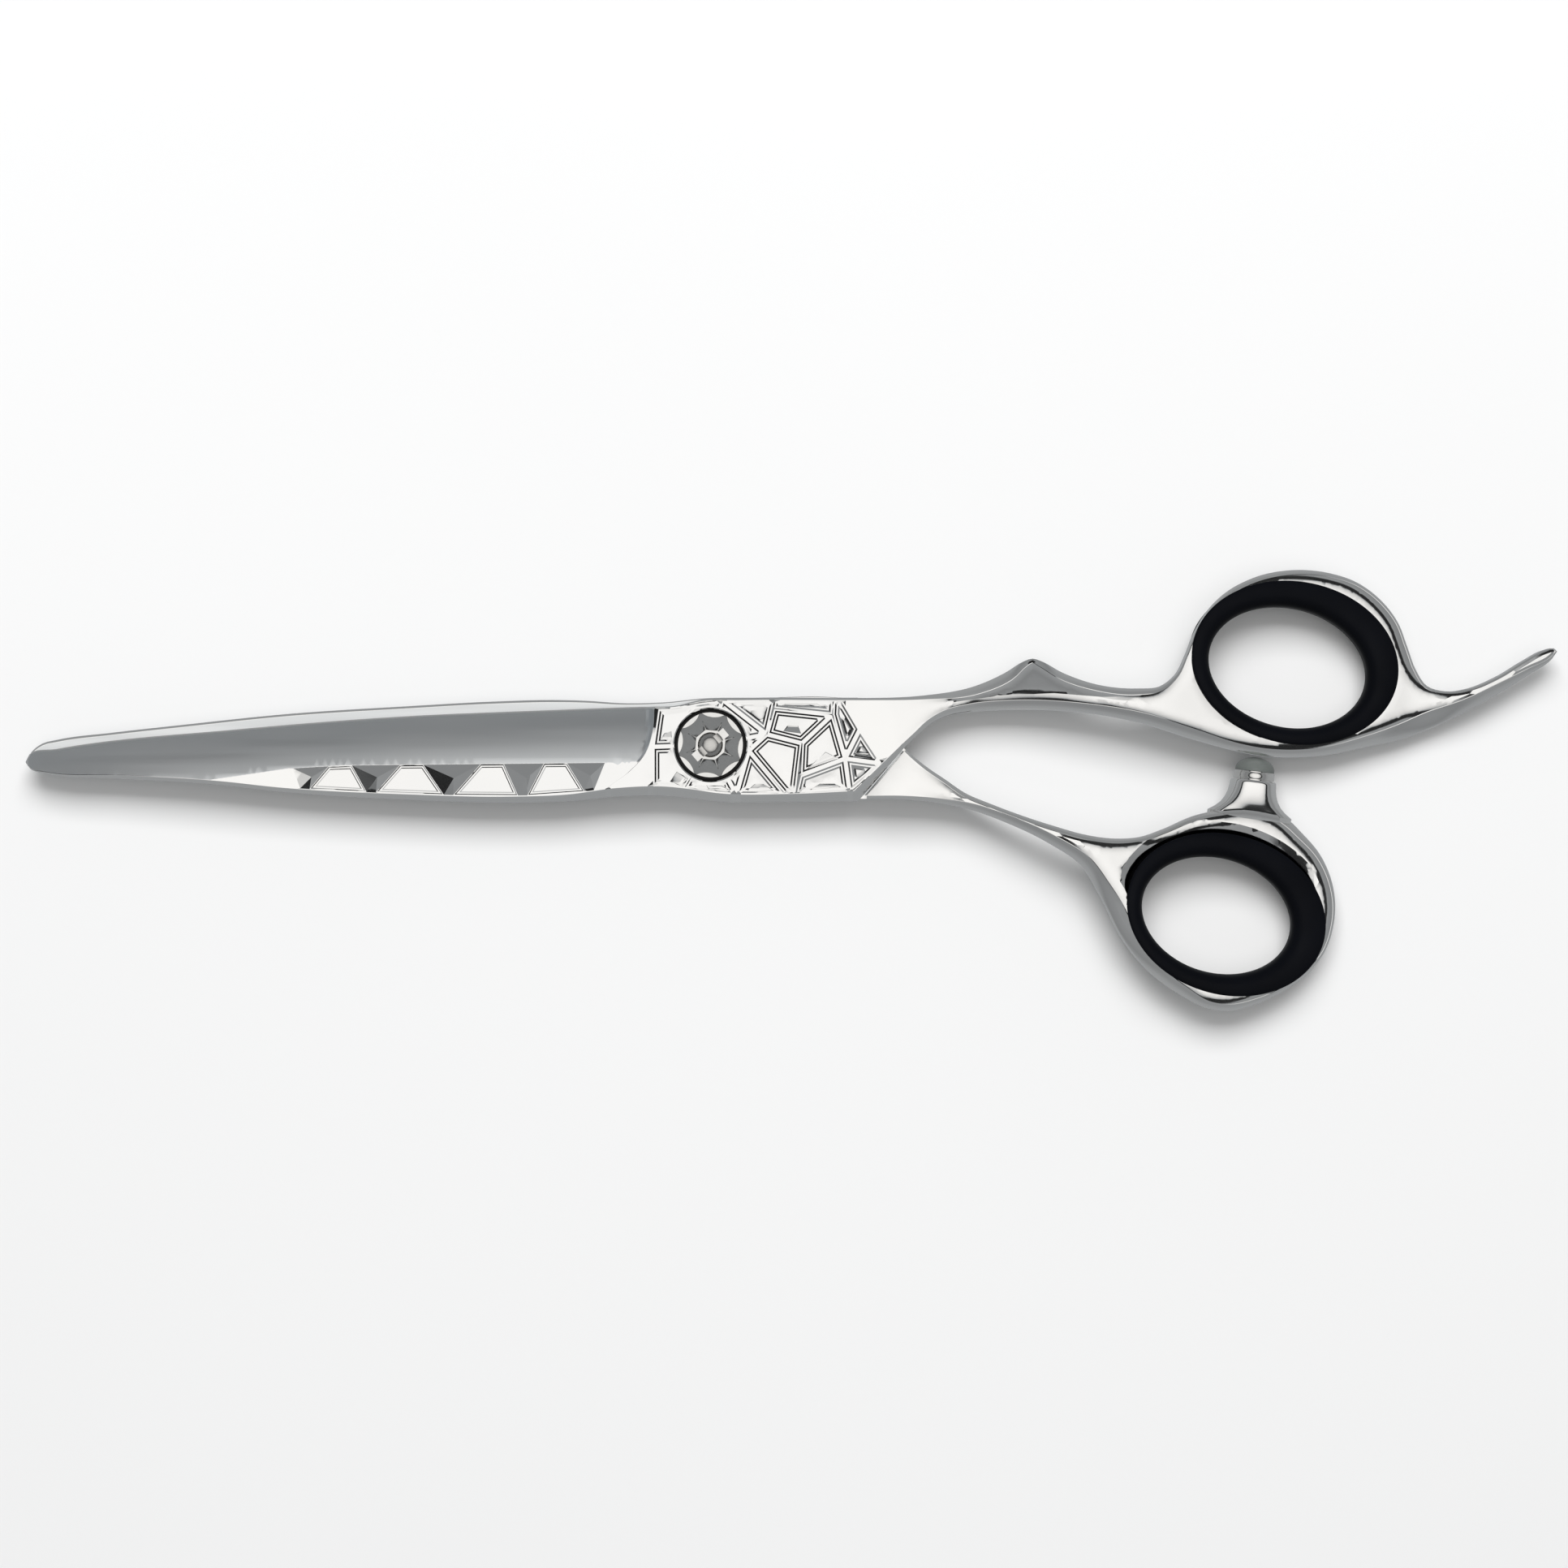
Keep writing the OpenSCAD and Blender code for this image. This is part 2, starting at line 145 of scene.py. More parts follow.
FINGER_SPINE = [
    (18.9, -7.2, 1.35, .04), (10, -7.3, 1.05, .04), (.5, -7.2, 1.1, .04), (-2.5, -6.8, 1.15, .04),
    (-6, -6.5, 1.2, .04), (-12, -6.6, 1.1, .04), (-18, -7.2, .9, .04), (-26, -7.4, .8, .04),
    (-39, -7, .7, .04), (-55, -6, .55, .04), (-63, -5.1, .5, .04), (-76, -4.3, .45, .04),
    (-85, -3.7, .2, .04), (-87.2, -3.1, .12, .04), (-88, -2.2, .10, .04)]
THUMB_TOP = [
    (-88, -2, .12, .1), (-87.4, -.9, .2, .12), (-86, .2, .25, .12), (-84, .7, .28, .12),
    (-77, 1.6, .28, .12), (-68, 2.6, .28, .12), (-54.5, 4, .28, .12), (-39, 5, .28, .12),
    (-28, 5.6, .28, .12), (-20, 5.8, .28, .12), (-16, 5.7, .25, .12), (-11.5, 5.4, .2, .12),
    (-6, 5.5, .15, .15), (-1, 6, .15, .3), (6, 6.1, .15, .4), (18.9, 6.1, .04, .5)]
THUMB_SHANK = [
    (25.3, -.9, .3, .5), (27.5, -2.7, .4, .5), (30, -4.4, .45, .5), (32.5, -6.1, .5, .6),
    (36, -7.6, .5, .7), (40, -9.1, .55, .8), (44, -10.4, .6, .8), (48, -11.5, .6, .8),
    (52, -12, .6, .8), (55, -11.8, .5, .7), (58, -10.8, .5, .7), (62, -9.1, .6, .7),
    (65, -8.4, .7, .7), (70, -8, .8, .8), (73.6, -9.2, .9, .8), (76, -11.4, .8, .7),
    (78.2, -14, .6, .6), (79.6, -17, .45, .5), (80.2, -20.3, .35, .4), (79.9, -23.5, .3, .35),
    (78.8, -26.6, .3, .4), (76.6, -29.3, .4, .5), (73.4, -31.6, .5, .6), (70, -33.2, .7, .7),
    (66.5, -34.1, .9, .8), (63.5, -33.7, 1, .9), (60.3, -32.1, 1.3, .9), (57, -29.8, 1.5, .9),
    (54.5, -27.3, 1.8, .9), (52.3, -24.2, 2, .9), (50.7, -21, 2, .9), (49.4, -18.5, 1.7, .9),
    (47.5, -15.5, 1.4, .9), (43.5, -12.7, 1.2, .9), (38, -10, 1, .7), (33, -8.2, .8, .5),
    (29, -7.4, .6, .4), (24.9, -7, .5, .4), (19.5, -6.9, .4, .5)]
THUMB_SPINE = [
    (17.5, -6.9, .04, .9), (10, -6.9, .04, 1), (0, -6.9, .04, 1), (-3, -6.5, .04, 1),
    (-7, -5.9, .04, 1), (-12, -5.6, .04, .9), (-39, -4.9, .04, .6), (-60, -4.1, .04, .5),
    (-84, -3, .04, .2), (-87.2, -2.7, .04, .12), (-88, -2, .12, .1)]
FINGER_WALL = [(18.9, -7.2), (25.1, 0)]
THUMB_WALL = [(18.9, 6.1), (25, -.6)]
GRIND_END = [(-7.2, 7), (-7.2, 4.8), (-7.4, 1.8), (-8.4, -1.2), (-10.6, -3.6), (-13, -5.4), (-15, -8)]

# Ridge under the horn of the finger shank: the face falls from it towards the horn
HORN_RIDGE = [(29.5, 6.9), (31.3, 5.5), (37, 6.3), (43.8, 6.6), (50, 6.1), (54.9, 6.2), (58, 8.6)]
HORN_SLOPE = 0.42

# Ring openings as centre, half length, half width, angle in degrees
FINGER_HOLE = ((74, 9.9), 10.4, 7.6, -13)
FINGER_LIP = ((74.8, 10.5), 13.5, 10.4, -10)
THUMB_HOLE = ((64.9, -21.9), 9.9, 7.3, -17)
THUMB_LIP = ((66, -21.7), 13.1, 10.2, -17)

# Corners of the hub's facets: x, y, height above the hub's nominal face
HUB = {
    "O0": (0, 0, -.05), "L1": (-6.7, 4.6, -.22), "L2": (-7.4, -.25, .02), "M": (-7.4, -5.6, -.3),
    "N": (-3.5, -5.9, -.18), "O": (3.3, -6.4, -.28), "A": (1.5, 5.8, -.2), "B": (8.25, 5.9, -.22),
    "B2": (8.1, 4.65, -.02), "C": (15.7, 5.9, -.2), "D": (16.8, 5.9, -.12), "E": (7.2, 1.35, .04),
    "F": (15.6, 3.85, .03), "G": (11.7, .2, -.16), "H": (17.2, -1.75, .04), "I": (4.9, -.75, -.04),
    "J": (22.0, -2.4, -.16), "K": (19.1, 2.0, -.04), "P": (9.7, -6.5, -.3), "Q": (10.9, -6.5, -.24),
    "R": (17.8, -6.1, -.3), "S": (20.4, -4, -.22), "T": (11.5, -3.9, .0)}
HUB_FACETS = ["O0 L2 L1 A", "O0 A E", "O0 E I", "O0 I O", "O0 O N", "O0 N M L2", "A B E",
    "B C F B2", "B2 F G E", "E G Q P I", "I P O", "F H T G", "T H R Q", "C D K H F", "H K J", "H J S R"]
# Small steep chips near the facets' base edges: corners, then slope along x and y
HUB_CHIPS = [
    ([(9.6, 5.3), (13.6, 5.3), (14.7, 4.65), (9.0, 4.95)], (0, -.33)),
    ([(9.9, 2.55), (11.2, 2.45), (11.6, 1.45), (9.3, 1.75)], (.04, -.34)),
    ([(5.7, -4.95), (6.8, -5.0), (8.1, -5.85), (4.7, -5.85)], (.05, .33)),
    ([(-.6, -5.15), (1.4, -5.2), (2.4, -5.75), (-.2, -5.7)], (-.04, .33)),
    ([(14, -4.95), (15.9, -4.95), (16.7, -5.4), (12.7, -5.75)], (.05, .34)),
    ([(18.6, -1.05), (20.2, -1.1), (20.9, -1.75), (18.2, -1.6)], (0, -.34)),
    ([(-5.9, 1.5), (-5.0, 1.75), (-4.95, .95), (-6.3, .85)], (.08, .33)),
    ([(-5.2, -4.7), (-4.3, -3.4), (-2.9, -4.4), (-3.9, -5.2)], (-.25, .15)),
    ([(12.3, -3.1), (14.7, -.9), (16.5, -1.75)], (-.12, .22))]

# Zig-zag along the spine: x of the corners next to the ground face, and of those at the flank
SPINE_UP = [-54.9, -47.35, -38.2, -27.9, -19.8, -12.0]
SPINE_LOW = [-51.9, -43.4, -33.5, -24.0, -15.5]
PIT_SLOPE = 0.5         # fall of each hollow of the zig-zag from its edge at the ground face
PIT_SHIFT = 0.35        # how far a hollow's deepest point lies towards the hub
SPINE_UP_HALF = 1.5
SPINE_LOW_HALF = 0.6
SPINE_LINE = [(-66, -4.75), (-60, -3.9), (-54, -3), (-47, -2.6), (-12, -2.25), (-9, -2.2), (-6, -2.2)]

# Steps round each facet: distance from its outline and height
TERRACES = [(.07, 0), (.26, 0), (.48, -.073), (.66, -.073), (.88, -.146)]
SPINE_TERRACES = [(.06, 0), (.18, -.04), (.34, -.04), (.46, -.075)]

# Half thickness of the handles along x
HANDLE_T = [(HANDLE_X, 3), (34, 2.4), (46, 2.1), (50, RING_HALF_T), (96, RING_HALF_T), (108.6, 1.3)]


def smooth(a, b, x):
    t = np.clip((x - a) / (b - a), 0, 1)
    return t * t * (3 - 2 * t)


def mix(a, b, t):
    return a + (b - a) * t


# ---- Curves in the plane ----
def curve(points, step=0.7):
    """Points about a step apart on the smooth curve through some points, without the last one."""
    p = np.array(points, float)
    length = np.linalg.norm(np.diff(p[:, :2], axis=0), axis=1)
    chord = np.diff(p, axis=0) / length[:, None]
    inner = (chord[:-1] * length[1:, None] + chord[1:] * length[:-1, None]) \
        / (length[:-1] + length[1:])[:, None]
    tangent = np.vstack([chord[:1], inner, chord[-1:]])
    rows = []
    for i, s in enumerate(length):
        count = max(2, math.ceil(s / step))
        t = (np.arange(count) / count)[:, None]
        rows.append(p[i] * (1 + 2 * t) * (1 - t) ** 2 + tangent[i] * s * t * (1 - t) ** 2
                    + p[i + 1] * t ** 2 * (3 - 2 * t) + tangent[i + 1] * s * t ** 2 * (t - 1))
    return np.vstack(rows)


def oval(o, count=160):
    """Points round an ellipse, clockwise."""
    t = -2 * math.pi * np.arange(count) / count
    u, v, a = o[1] * np.cos(t), o[2] * np.sin(t), math.radians(o[3])
    return np.stack([o[0][0] + u * math.cos(a) - v * math.sin(a),
                     o[0][1] + u * math.sin(a) + v * math.cos(a)], 1)


def circle(r, count=128):
    return oval(((0, 0), r, r, 0), count)


def inward(loop, width):
    """The loop's corners moved inwards by a width, for a clockwise loop."""
    p = loop[:, :2]
    back = p - np.roll(p, 1, 0)
    ahead = np.roll(p, -1, 0) - p
    n = [np.stack([d[:, 1], -d[:, 0]], 1) / np.linalg.norm(d, axis=1)[:, None] for d in (back, ahead)]
    m = n[0] + n[1]
    m /= np.linalg.norm(m, axis=1)[:, None]
    stretch = np.minimum(1 / (m * n[0]).sum(1), 1.5)
    return p + m * (stretch * width)[:, None]


def inside(points, loop):
    """Which points lie inside a loop."""
    x, y = points[:, 0], points[:, 1]
    result = np.zeros(len(points), bool)
    for (ax, ay), (bx, by) in zip(loop[:, :2], np.roll(loop[:, :2], -1, 0)):
        if ay != by:
            result ^= ((ay > y) != (by > y)) & (x < (bx - ax) * (y - ay) / (by - ay) + ax)
    return result


def distance(points, loop):
    """Distance of each point from a loop's edges."""
    best = np.full(len(points), 1e9)
    for a, b in zip(loop[:, :2], np.roll(loop[:, :2], -1, 0)):
        d = b - a
        t = np.clip(((points - a) @ d) / max(d @ d, 1e-12), 0, 1)
        best = np.minimum(best, ((points - a - t[:, None] * d) ** 2).sum(1))
    return np.sqrt(best)


def side(points, line):
    """Distance of each point to the right of a line's direction."""
    a, b = np.array(line[0], float), np.array(line[1], float)
    d = (b - a) / np.linalg.norm(b - a)
    return (points[:, 0] - a[0]) * d[1] - (points[:, 1] - a[1]) * d[0]


def with_step(loop, line, shift, face):
    """The loop with two close corners where its ridge crosses a line moved to its right; the fifth
    column marks them. The face is the column with the ridge's width."""
    s = side(inward(loop, loop[:, face] + BEVEL), line) - shift
    loop = np.column_stack([loop, np.zeros(len(loop))])
    loop, s = loop[np.abs(s) > 2 * STEP_HALF], s[np.abs(s) > 2 * STEP_HALF]
    rows = []
    for i in range(len(loop)):
        j = (i + 1) % len(loop)
        rows.append(loop[i])
        if (s[i] > 0) != (s[j] > 0):
            for sign in ([-1, 1] if s[i] < 0 else [1, -1]):
                point = mix(loop[i], loop[j], (sign * STEP_HALF - s[i]) / (s[j] - s[i]))
                point[2:4] = loop[i][2:4] if sign * s[i] > 0 else loop[j][2:4]
                point[4] = sign
                rows.append(point)
    return np.array(rows)


def step_lines(loop, crease):
    """The two close lines across a face, one on each side of its step."""
    return [crease[loop[:, 4] == sign] for sign in (-1, 1)]


def walk(corners, step):
    """Points at most a step apart round some corners."""
    rows = []
    for p, q in zip(corners, corners[1:] + corners[:1]):
        count = max(1, math.ceil(np.linalg.norm(q - p) / step))
        rows += [p + (q - p) * i / count for i in range(count)]
    return rows


def runs(points, fine):
    """The stretches of more than three neighbouring points that are fine."""
    found, start = [], 0
    for i in range(len(points) + 1):
        if i == len(points) or not fine[i]:
            if i - start > 3:
                found.append(points[start:i])
            start = i + 1
    return found


def plain(centres):
    """The first material for every face."""
    return np.zeros(len(centres), int)


# ---- Meshes ----
class Shell:
    """Vertices and faces of one closed piece."""

    def __init__(self):
        self.points, self.faces, self.kinds = [], [], []

    def row(self, xy, z):
        start = len(self.points)
        z = np.broadcast_to(np.asarray(z, float), (len(xy),))
        self.points += [tuple(p) for p in np.column_stack([xy[:, :2], z])]
        return np.arange(start, len(self.points))

    def strip(self, a, b, kind=0):
        n = len(a)
        for i in range(n):
            j = (i + 1) % n
            self.faces.append((a[i], a[j], b[j], b[i]))
            self.kinds.append(kind)

    def cap(self, loops, lines, dots, height, kind):
        """Fills the first loop, outside the others, and returns the rows of the loops' vertices."""
        xy, edges = [], []
        for loop, closed in [(l, True) for l in loops] + [(l, False) for l in lines]:
            start = len(xy)
            xy += [tuple(p[:2]) for p in loop]
            edges += [(start + i, start + i + 1) for i in range(len(loop) - 1)]
            if closed:
                edges.append((start + len(loop) - 1, start))
        xy += [tuple(p) for p in dots]
        found = delaunay_2d_cdt([Vector(p) for p in xy], edges, [], 0, 1e-7, True)
        flat = np.array([tuple(v) for v in found[0]])
        faces = np.array([tuple(f) for f in found[2] if len(f) == 3])
        centre = flat[faces].mean(1)
        keep = inside(centre, loops[0])
        for hole in loops[1:]:
            keep &= ~inside(centre, hole)
        faces, centre = faces[keep], centre[keep]
        a, b, c = (flat[faces[:, i]] for i in range(3))
        area = np.abs(np.cross(b - a, c - a))
        faces, centre = faces[area > 1e-9], centre[area > 1e-9]
        ids = self.row(flat, height(flat))
        self.faces += [tuple(ids[f]) for f in faces]
        self.kinds += list(kind(centre))
        where = {}
        for out, sources in enumerate(found[3]):
            for source in sources:
                where[source] = ids[out]
        rows, at = [], 0
        for loop in loops:
            rows.append(np.array([where[at + i] for i in range(len(loop))]))
            at += len(loop)
        return rows

    def build(self, name, materials, body, node, slot, angle=35):
        mesh = bpy.data.meshes.new(name)
        mesh.from_pydata([tuple(c * MM for c in p) for p in self.points], [], self.faces)
        for m in materials:
            mesh.materials.append(m)
        mesh.polygons.foreach_set("material_index", self.kinds)
        obj = bpy.data.objects.new(name, mesh)
        bpy.context.scene.collection.objects.link(obj)
        finish_mesh(obj, angle)
        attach(obj, body)
        if node:
            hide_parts(node)
        return obj


def finish_mesh(obj, angle=35):
    """Welds close vertices, turns the faces outwards and shades the mesh smooth between sharp edges."""
    bm = bmesh.new()
    bm.from_mesh(obj.data)
    bmesh.ops.remove_doubles(bm, verts=bm.verts, dist=1e-6)
    bmesh.ops.delete(bm, geom=[v for v in bm.verts if not v.link_faces], context="VERTS")
    bmesh.ops.recalc_face_normals(bm, faces=bm.faces)
    for e in bm.edges:
        e.smooth = len(e.link_faces) == 2 and e.calc_face_angle(0) < math.radians(angle)
    for f in bm.faces:
        f.smooth = True
    bm.to_mesh(obj.data)
    bm.free()
    weighted = obj.modifiers.new("weighted", "WEIGHTED_NORMAL")
    weighted.mode = "FACE_AREA"
    weighted.keep_sharp = True
    weighted.weight = 60


# ---- Heights of the steel halves ----
def ring_plane(x, centre):
    return RING_Z - RING_TILT * (x - centre[0][0])


def half_thickness(x):
    return np.interp(x, *zip(*HANDLE_T))


def finger_mid(x):
    on_ring = mix(RIDE_Z, ring_plane(x, FINGER_LIP), smooth(34, 60, x))
    return mix(on_ring, RIDE_Z, smooth(89, 99, x))


def thumb_mid(x):
    return mix(RIDE_Z, ring_plane(x, THUMB_LIP), smooth(30, 51, x))


EDGE_TOP = curve(FINGER_TOP)
THUMB_EDGE = curve(THUMB_TOP)
END_CURVE = curve(GRIND_END, 0.3)[:, :2]


def grind_end_x(y):
    """Where a blade's ground face ends."""
    return np.interp(y, END_CURVE[::-1, 1], END_CURVE[::-1, 0])


def ground_face(points, edge_line):
    """Height of the convex ground face of a blade over the ride plane, by distance from its edge."""
    x, y = points[:, 0], points[:, 1]
    across = np.maximum(np.interp(x, edge_line[:, 0], edge_line[:, 1]) - y, 0)
    z = mix(*EDGE_Z, smooth(-80, -20, x)) + GRIND_SLOPE * across - GRIND_BEND * across ** 2
    room = np.sqrt(np.maximum(RIDE_Z - z, 0) / RUN_OUT)
    return z + RUN_OUT * np.maximum(room + x - grind_end_x(y), 0) ** 2


def spine_y(x):
    """Where the ground face ends at the polished spine."""
    return np.interp(x, *zip(*SPINE_LINE))


def facet_distance(points, poly):
    """Distance inside a convex clockwise polygon, negative outside it."""
    best = np.full(len(points), 1e9)
    for a, b in zip(poly, poly[1:] + poly[:1]):
        best = np.minimum(best, side(points, (a[:2], b[:2])))
    return best


def clockwise(poly):
    area = sum(a[0] * b[1] - b[0] * a[1] for a, b in zip(poly, poly[1:] + poly[:1]))
    return poly if area < 0 else poly[::-1]


def plane(poly):
    """Coefficients of the plane nearest to a facet's corners."""
    p = np.array(poly, float)
    return np.linalg.lstsq(np.column_stack([p[:, :2], np.ones(len(p))]), p[:, 2], rcond=None)[0]


def shrink(poly, width):
    """A convex clockwise polygon with its edges moved inwards."""
    result = [np.array(p[:2], float) for p in poly]
    for a, b in zip(poly, poly[1:] + poly[:1]):
        clipped = []
        for p, q in zip(result, result[1:] + result[:1]):
            sp, sq = (side(np.array([v]), (a[:2], b[:2]))[0] - width for v in (p, q))
            if sp >= 0:
                clipped.append(p)
            if (sp > 0) != (sq > 0):
                clipped.append(p + (q - p) * sp / (sp - sq))
        result = clipped
        if len(result) < 3:
            return []
    return result


def facet_loop(poly, width, keep_in, step=0.5):
    """A facet's outline moved inwards, off the dial's counterbore and inside the hub's ridges."""
    corners = shrink(poly, width)
    if not corners:
        return None
    p = np.array(walk(corners, step))
    limit = COUNTERBORE_R + 0.14 + width
    r = np.linalg.norm(p, axis=1)
    near = r < limit
    if near.all():
        return None
    if near.any():
        first = np.flatnonzero(~near & np.roll(near, 1))[0]
        p, r, near = np.roll(p, -first, 0), np.roll(r, -first), np.roll(near, -first)
        kept = p[~near]
        a0 = math.atan2(kept[-1][1], kept[-1][0])
        a1 = math.atan2(kept[0][1], kept[0][0])
        turn = (a1 - a0 + math.pi) % (2 * math.pi) - math.pi
        angles = a0 + turn * np.linspace(0, 1, max(3, math.ceil(abs(turn) * limit / step)))
        p = np.vstack([kept, limit * np.stack([np.cos(angles), np.sin(angles)], 1)])
    return keep_in(p, width)


# ---- Materials ----
def material(name, base, roughness, metallic=1.0, **sockets):
    m = bpy.data.materials.new(name)
    m.use_nodes = True
    shader = m.node_tree.nodes["Principled BSDF"]
    shader.inputs["Base Color"].default_value = (*base, 1)
    shader.inputs["Roughness"].default_value = roughness
    shader.inputs["Metallic"].default_value = metallic
    for key, value in sockets.items():
        shader.inputs[key.replace("_", " ")].default_value = value
    return m, shader


def add(m, kind, **values):
    node = m.node_tree.nodes.new("ShaderNode" + kind)
    for key, value in values.items():
        if key in node.inputs:
            node.inputs[key].default_value = value
        else:
            setattr(node, key, value)
    return node


def noise(m, scale, detail=3.0, stretch=(1, 1, 1)):
    """Noise in the piece's own coordinates, stretched along the axes."""
    link = m.node_tree.links.new
    place = add(m, "TexCoord")
    mapping = add(m, "Mapping")
    mapping.inputs["Scale"].default_value = stretch
    texture = add(m, "TexNoise", Scale=scale, Detail=detail)
    link(place.outputs["Object"], mapping.inputs["Vector"])
    link(mapping.outputs["Vector"], texture.inputs["Vector"])
    return texture.outputs["Fac"]


def ramp(m, value, stops):
    node = add(m, "ValToRGB")
    m.node_tree.links.new(value, node.inputs["Fac"])
    elements = node.color_ramp.elements
    while len(elements) < len(stops):
        elements.new(0.5)
    for element, (at, colour) in zip(elements, stops):
        element.position = at
        element.color = (*colour, 1) if len(colour) == 3 else (*([colour[0]] * 3), 1)
    return node.outputs["Color"]


def bump(m, shader, height, distance_mm, strength=1.0, before=None):
    node = add(m, "Bump", Strength=strength, Distance=distance_mm * MM)
    m.node_tree.links.new(height, node.inputs["Height"])
    if before is not None:
        m.node_tree.links.new(before.outputs["Normal"], node.inputs["Normal"])
    m.node_tree.links.new(node.outputs["Normal"], shader.inputs["Normal"])
    return node


def polished_steel():
    m, s = material("polished_steel", (.88, .875, .865), .07)
    link = m.node_tree.links.new
    link(ramp(m, noise(m, 90, 5), [(.3, (.05,)), (.75, (.11,))]), s.inputs["Roughness"])
    link(ramp(m, noise(m, 45, 2), [(.3, (.86, .86, .855)), (.7, (.9, .893, .88))]),
         s.inputs["Base Color"])
    bump(m, s, noise(m, 160, 2), .012, .25)
    return m


def satin_steel():
    m, s = material("satin_steel", (.80, .82, .835), .34)
    link = m.node_tree.links.new
    lines = noise(m, 700, 4, (.04, 1, 1))
    link(ramp(m, lines, [(.25, (.27,)), (.75, (.36,))]), s.inputs["Roughness"])
    link(ramp(m, noise(m, 35, 3), [(.3, (.77, .795, .81)), (.7, (.83, .845, .855))]),
         s.inputs["Base Color"])
    bump(m, s, lines, .004, .35)
    return m


def turned_metal(name, base, roughness, rings=4200):
    m, s = material(name, base, roughness)
    link = m.node_tree.links.new
    grain = noise(m, rings, 2)
    link(ramp(m, grain, [(.3, (roughness - .05,)), (.7, (roughness + .06,))]), s.inputs["Roughness"])
    low, high = [tuple(c * k for c in base) for k in (.93, 1.06)]
    link(ramp(m, noise(m, 220, 3), [(.3, low), (.7, high)]), s.inputs["Base Color"])
    bump(m, s, grain, .004, .3)
    return m


def black_rubber():
    m, s = material("black_rubber", (.002, .0024, .0035), .5, 0, Specular_IOR_Level=.1)
    link = m.node_tree.links.new
    link(ramp(m, noise(m, 300, 3), [(.3, (.44,)), (.7, (.54,))]), s.inputs["Roughness"])
    link(ramp(m, noise(m, 120, 2), [(.3, (.0015, .0018, .003)), (.7, (.0025, .003, .0048))]),
         s.inputs["Base Color"])
    bump(m, s, noise(m, 900, 3), .006, .2)
    return m


# Near-black paint on the walls of the bores: painted shade, so the gap round the dial shows as a dark
# ring
def painted_shade_bore():
    m, s = material("painted_shade_bore", (.02, .02, .02), .5, .3)
    link = m.node_tree.links.new
    link(ramp(m, noise(m, 500, 3), [(.3, (.012, .012, .011)), (.7, (.03, .03, .029))]),
         s.inputs["Base Color"])
    bump(m, s, noise(m, 900, 3), .01, .3)
    return m


def cloudy_silicone():
    m, s = material("cloudy_silicone", (.2, .22, .21), .4, 0, Subsurface_Weight=.2,
                    Subsurface_Scale=.001)
    s.inputs["Subsurface Radius"].default_value = (1, 1, .9)
    link = m.node_tree.links.new
    link(ramp(m, noise(m, 260, 4), [(.3, (.115, .128, .122)), (.75, (.15, .163, .155))]),
         s.inputs["Base Color"])
    link(ramp(m, noise(m, 500, 2), [(.3, (.3,)), (.7, (.42,))]), s.inputs["Roughness"])
    bump(m, s, noise(m, 700, 3), .01, .2)
    return m


def slide_plastic(name, light):
    m, s = material(name, light, .5, 0)
    link = m.node_tree.links.new
    dark = tuple(c * .88 for c in light)
    link(ramp(m, noise(m, 300, 3), [(.3, dark), (.7, light)]), s.inputs["Base Color"])
    bump(m, s, noise(m, 1500, 3), .01, .3)
    return m


POLISHED = polished_steel()
SATIN = satin_steel()
DIAL_METAL = turned_metal("dial_metal", (.78, .775, .76), .14)
STUD_METAL = turned_metal("stud_metal", (.62, .61, .59), .2)
SEAT_METAL = turned_metal("seat_metal", (.83, .82, .8), .12)
BRONZE = turned_metal("bush_bronze", (.72, .50, .24), .3)
SPRING_METAL = turned_metal("spring_metal", (.42, .44, .47), .3)
BORE_SHADE = painted_shade_bore()
RUBBER = black_rubber()
SILICONE = cloudy_silicone()
PLASTIC = slide_plastic("slide_plastic", (.83, .82, .77))
# Near-black plastic for the washer under the dial: painted shade, so the gap round the dial shows dark
WASHER_SHADE = slide_plastic("filled_plastic", (.02, .02, .021))


# ---- Forgings ----
def crown(points, ridge, hole, x):
    """The handle's faces swell a little between their ridges and the ring's opening."""
    d = np.minimum(distance(points, ridge), distance(points, hole) + 0.6)
    return -CROWN * np.maximum(1 - d / CROWN_WIDTH, 0) ** 2 * smooth(HANDLE_X, 34, x)


def chamfer(points, hole, centre, width):
    """Fall of a ring's face towards its opening, on the +y side of the ring."""
    to = points - np.array(centre)
    rise = to[:, 1] / np.maximum(np.linalg.norm(to, axis=1), 1e-6)
    wide = width * smooth(*CHAMFER_FADE, rise)
    return -CHAMFER_SLOPE * np.maximum(wide - distance(points, hole), 0)


def grid(loop, holes, spacing, clear):
    """Points of a regular grid inside a loop, clear of it and of its holes."""
    low, high = loop[:, :2].min(0), loop[:, :2].max(0)
    xs, ys = np.arange(low[0], high[0], spacing), np.arange(low[1], high[1], spacing)
    points = np.array([(x + (j % 2) * spacing / 2, y) for j, y in enumerate(ys) for x in xs])
    keep = inside(points, loop) & (distance(points, loop) > clear)
    for hole in holes:
        keep &= ~inside(points, hole) & (distance(points, hole) > clear)
    return points[keep]


def inner_rows(loop, hole, widths, from_x):
    """Lines inside a loop at some widths from it, where the steel is wide enough."""
    lines = []
    for w in widths:
        moved = inward(loop, np.full(len(loop), w))
        fine = (distance(moved, loop) > 0.93 * w) & (moved[:, 0] > from_x) & ~inside(moved, hole) \
            & (distance(moved, hole) > 0.25) & inside(moved, loop)
        lines += runs(moved, fine)
    return lines


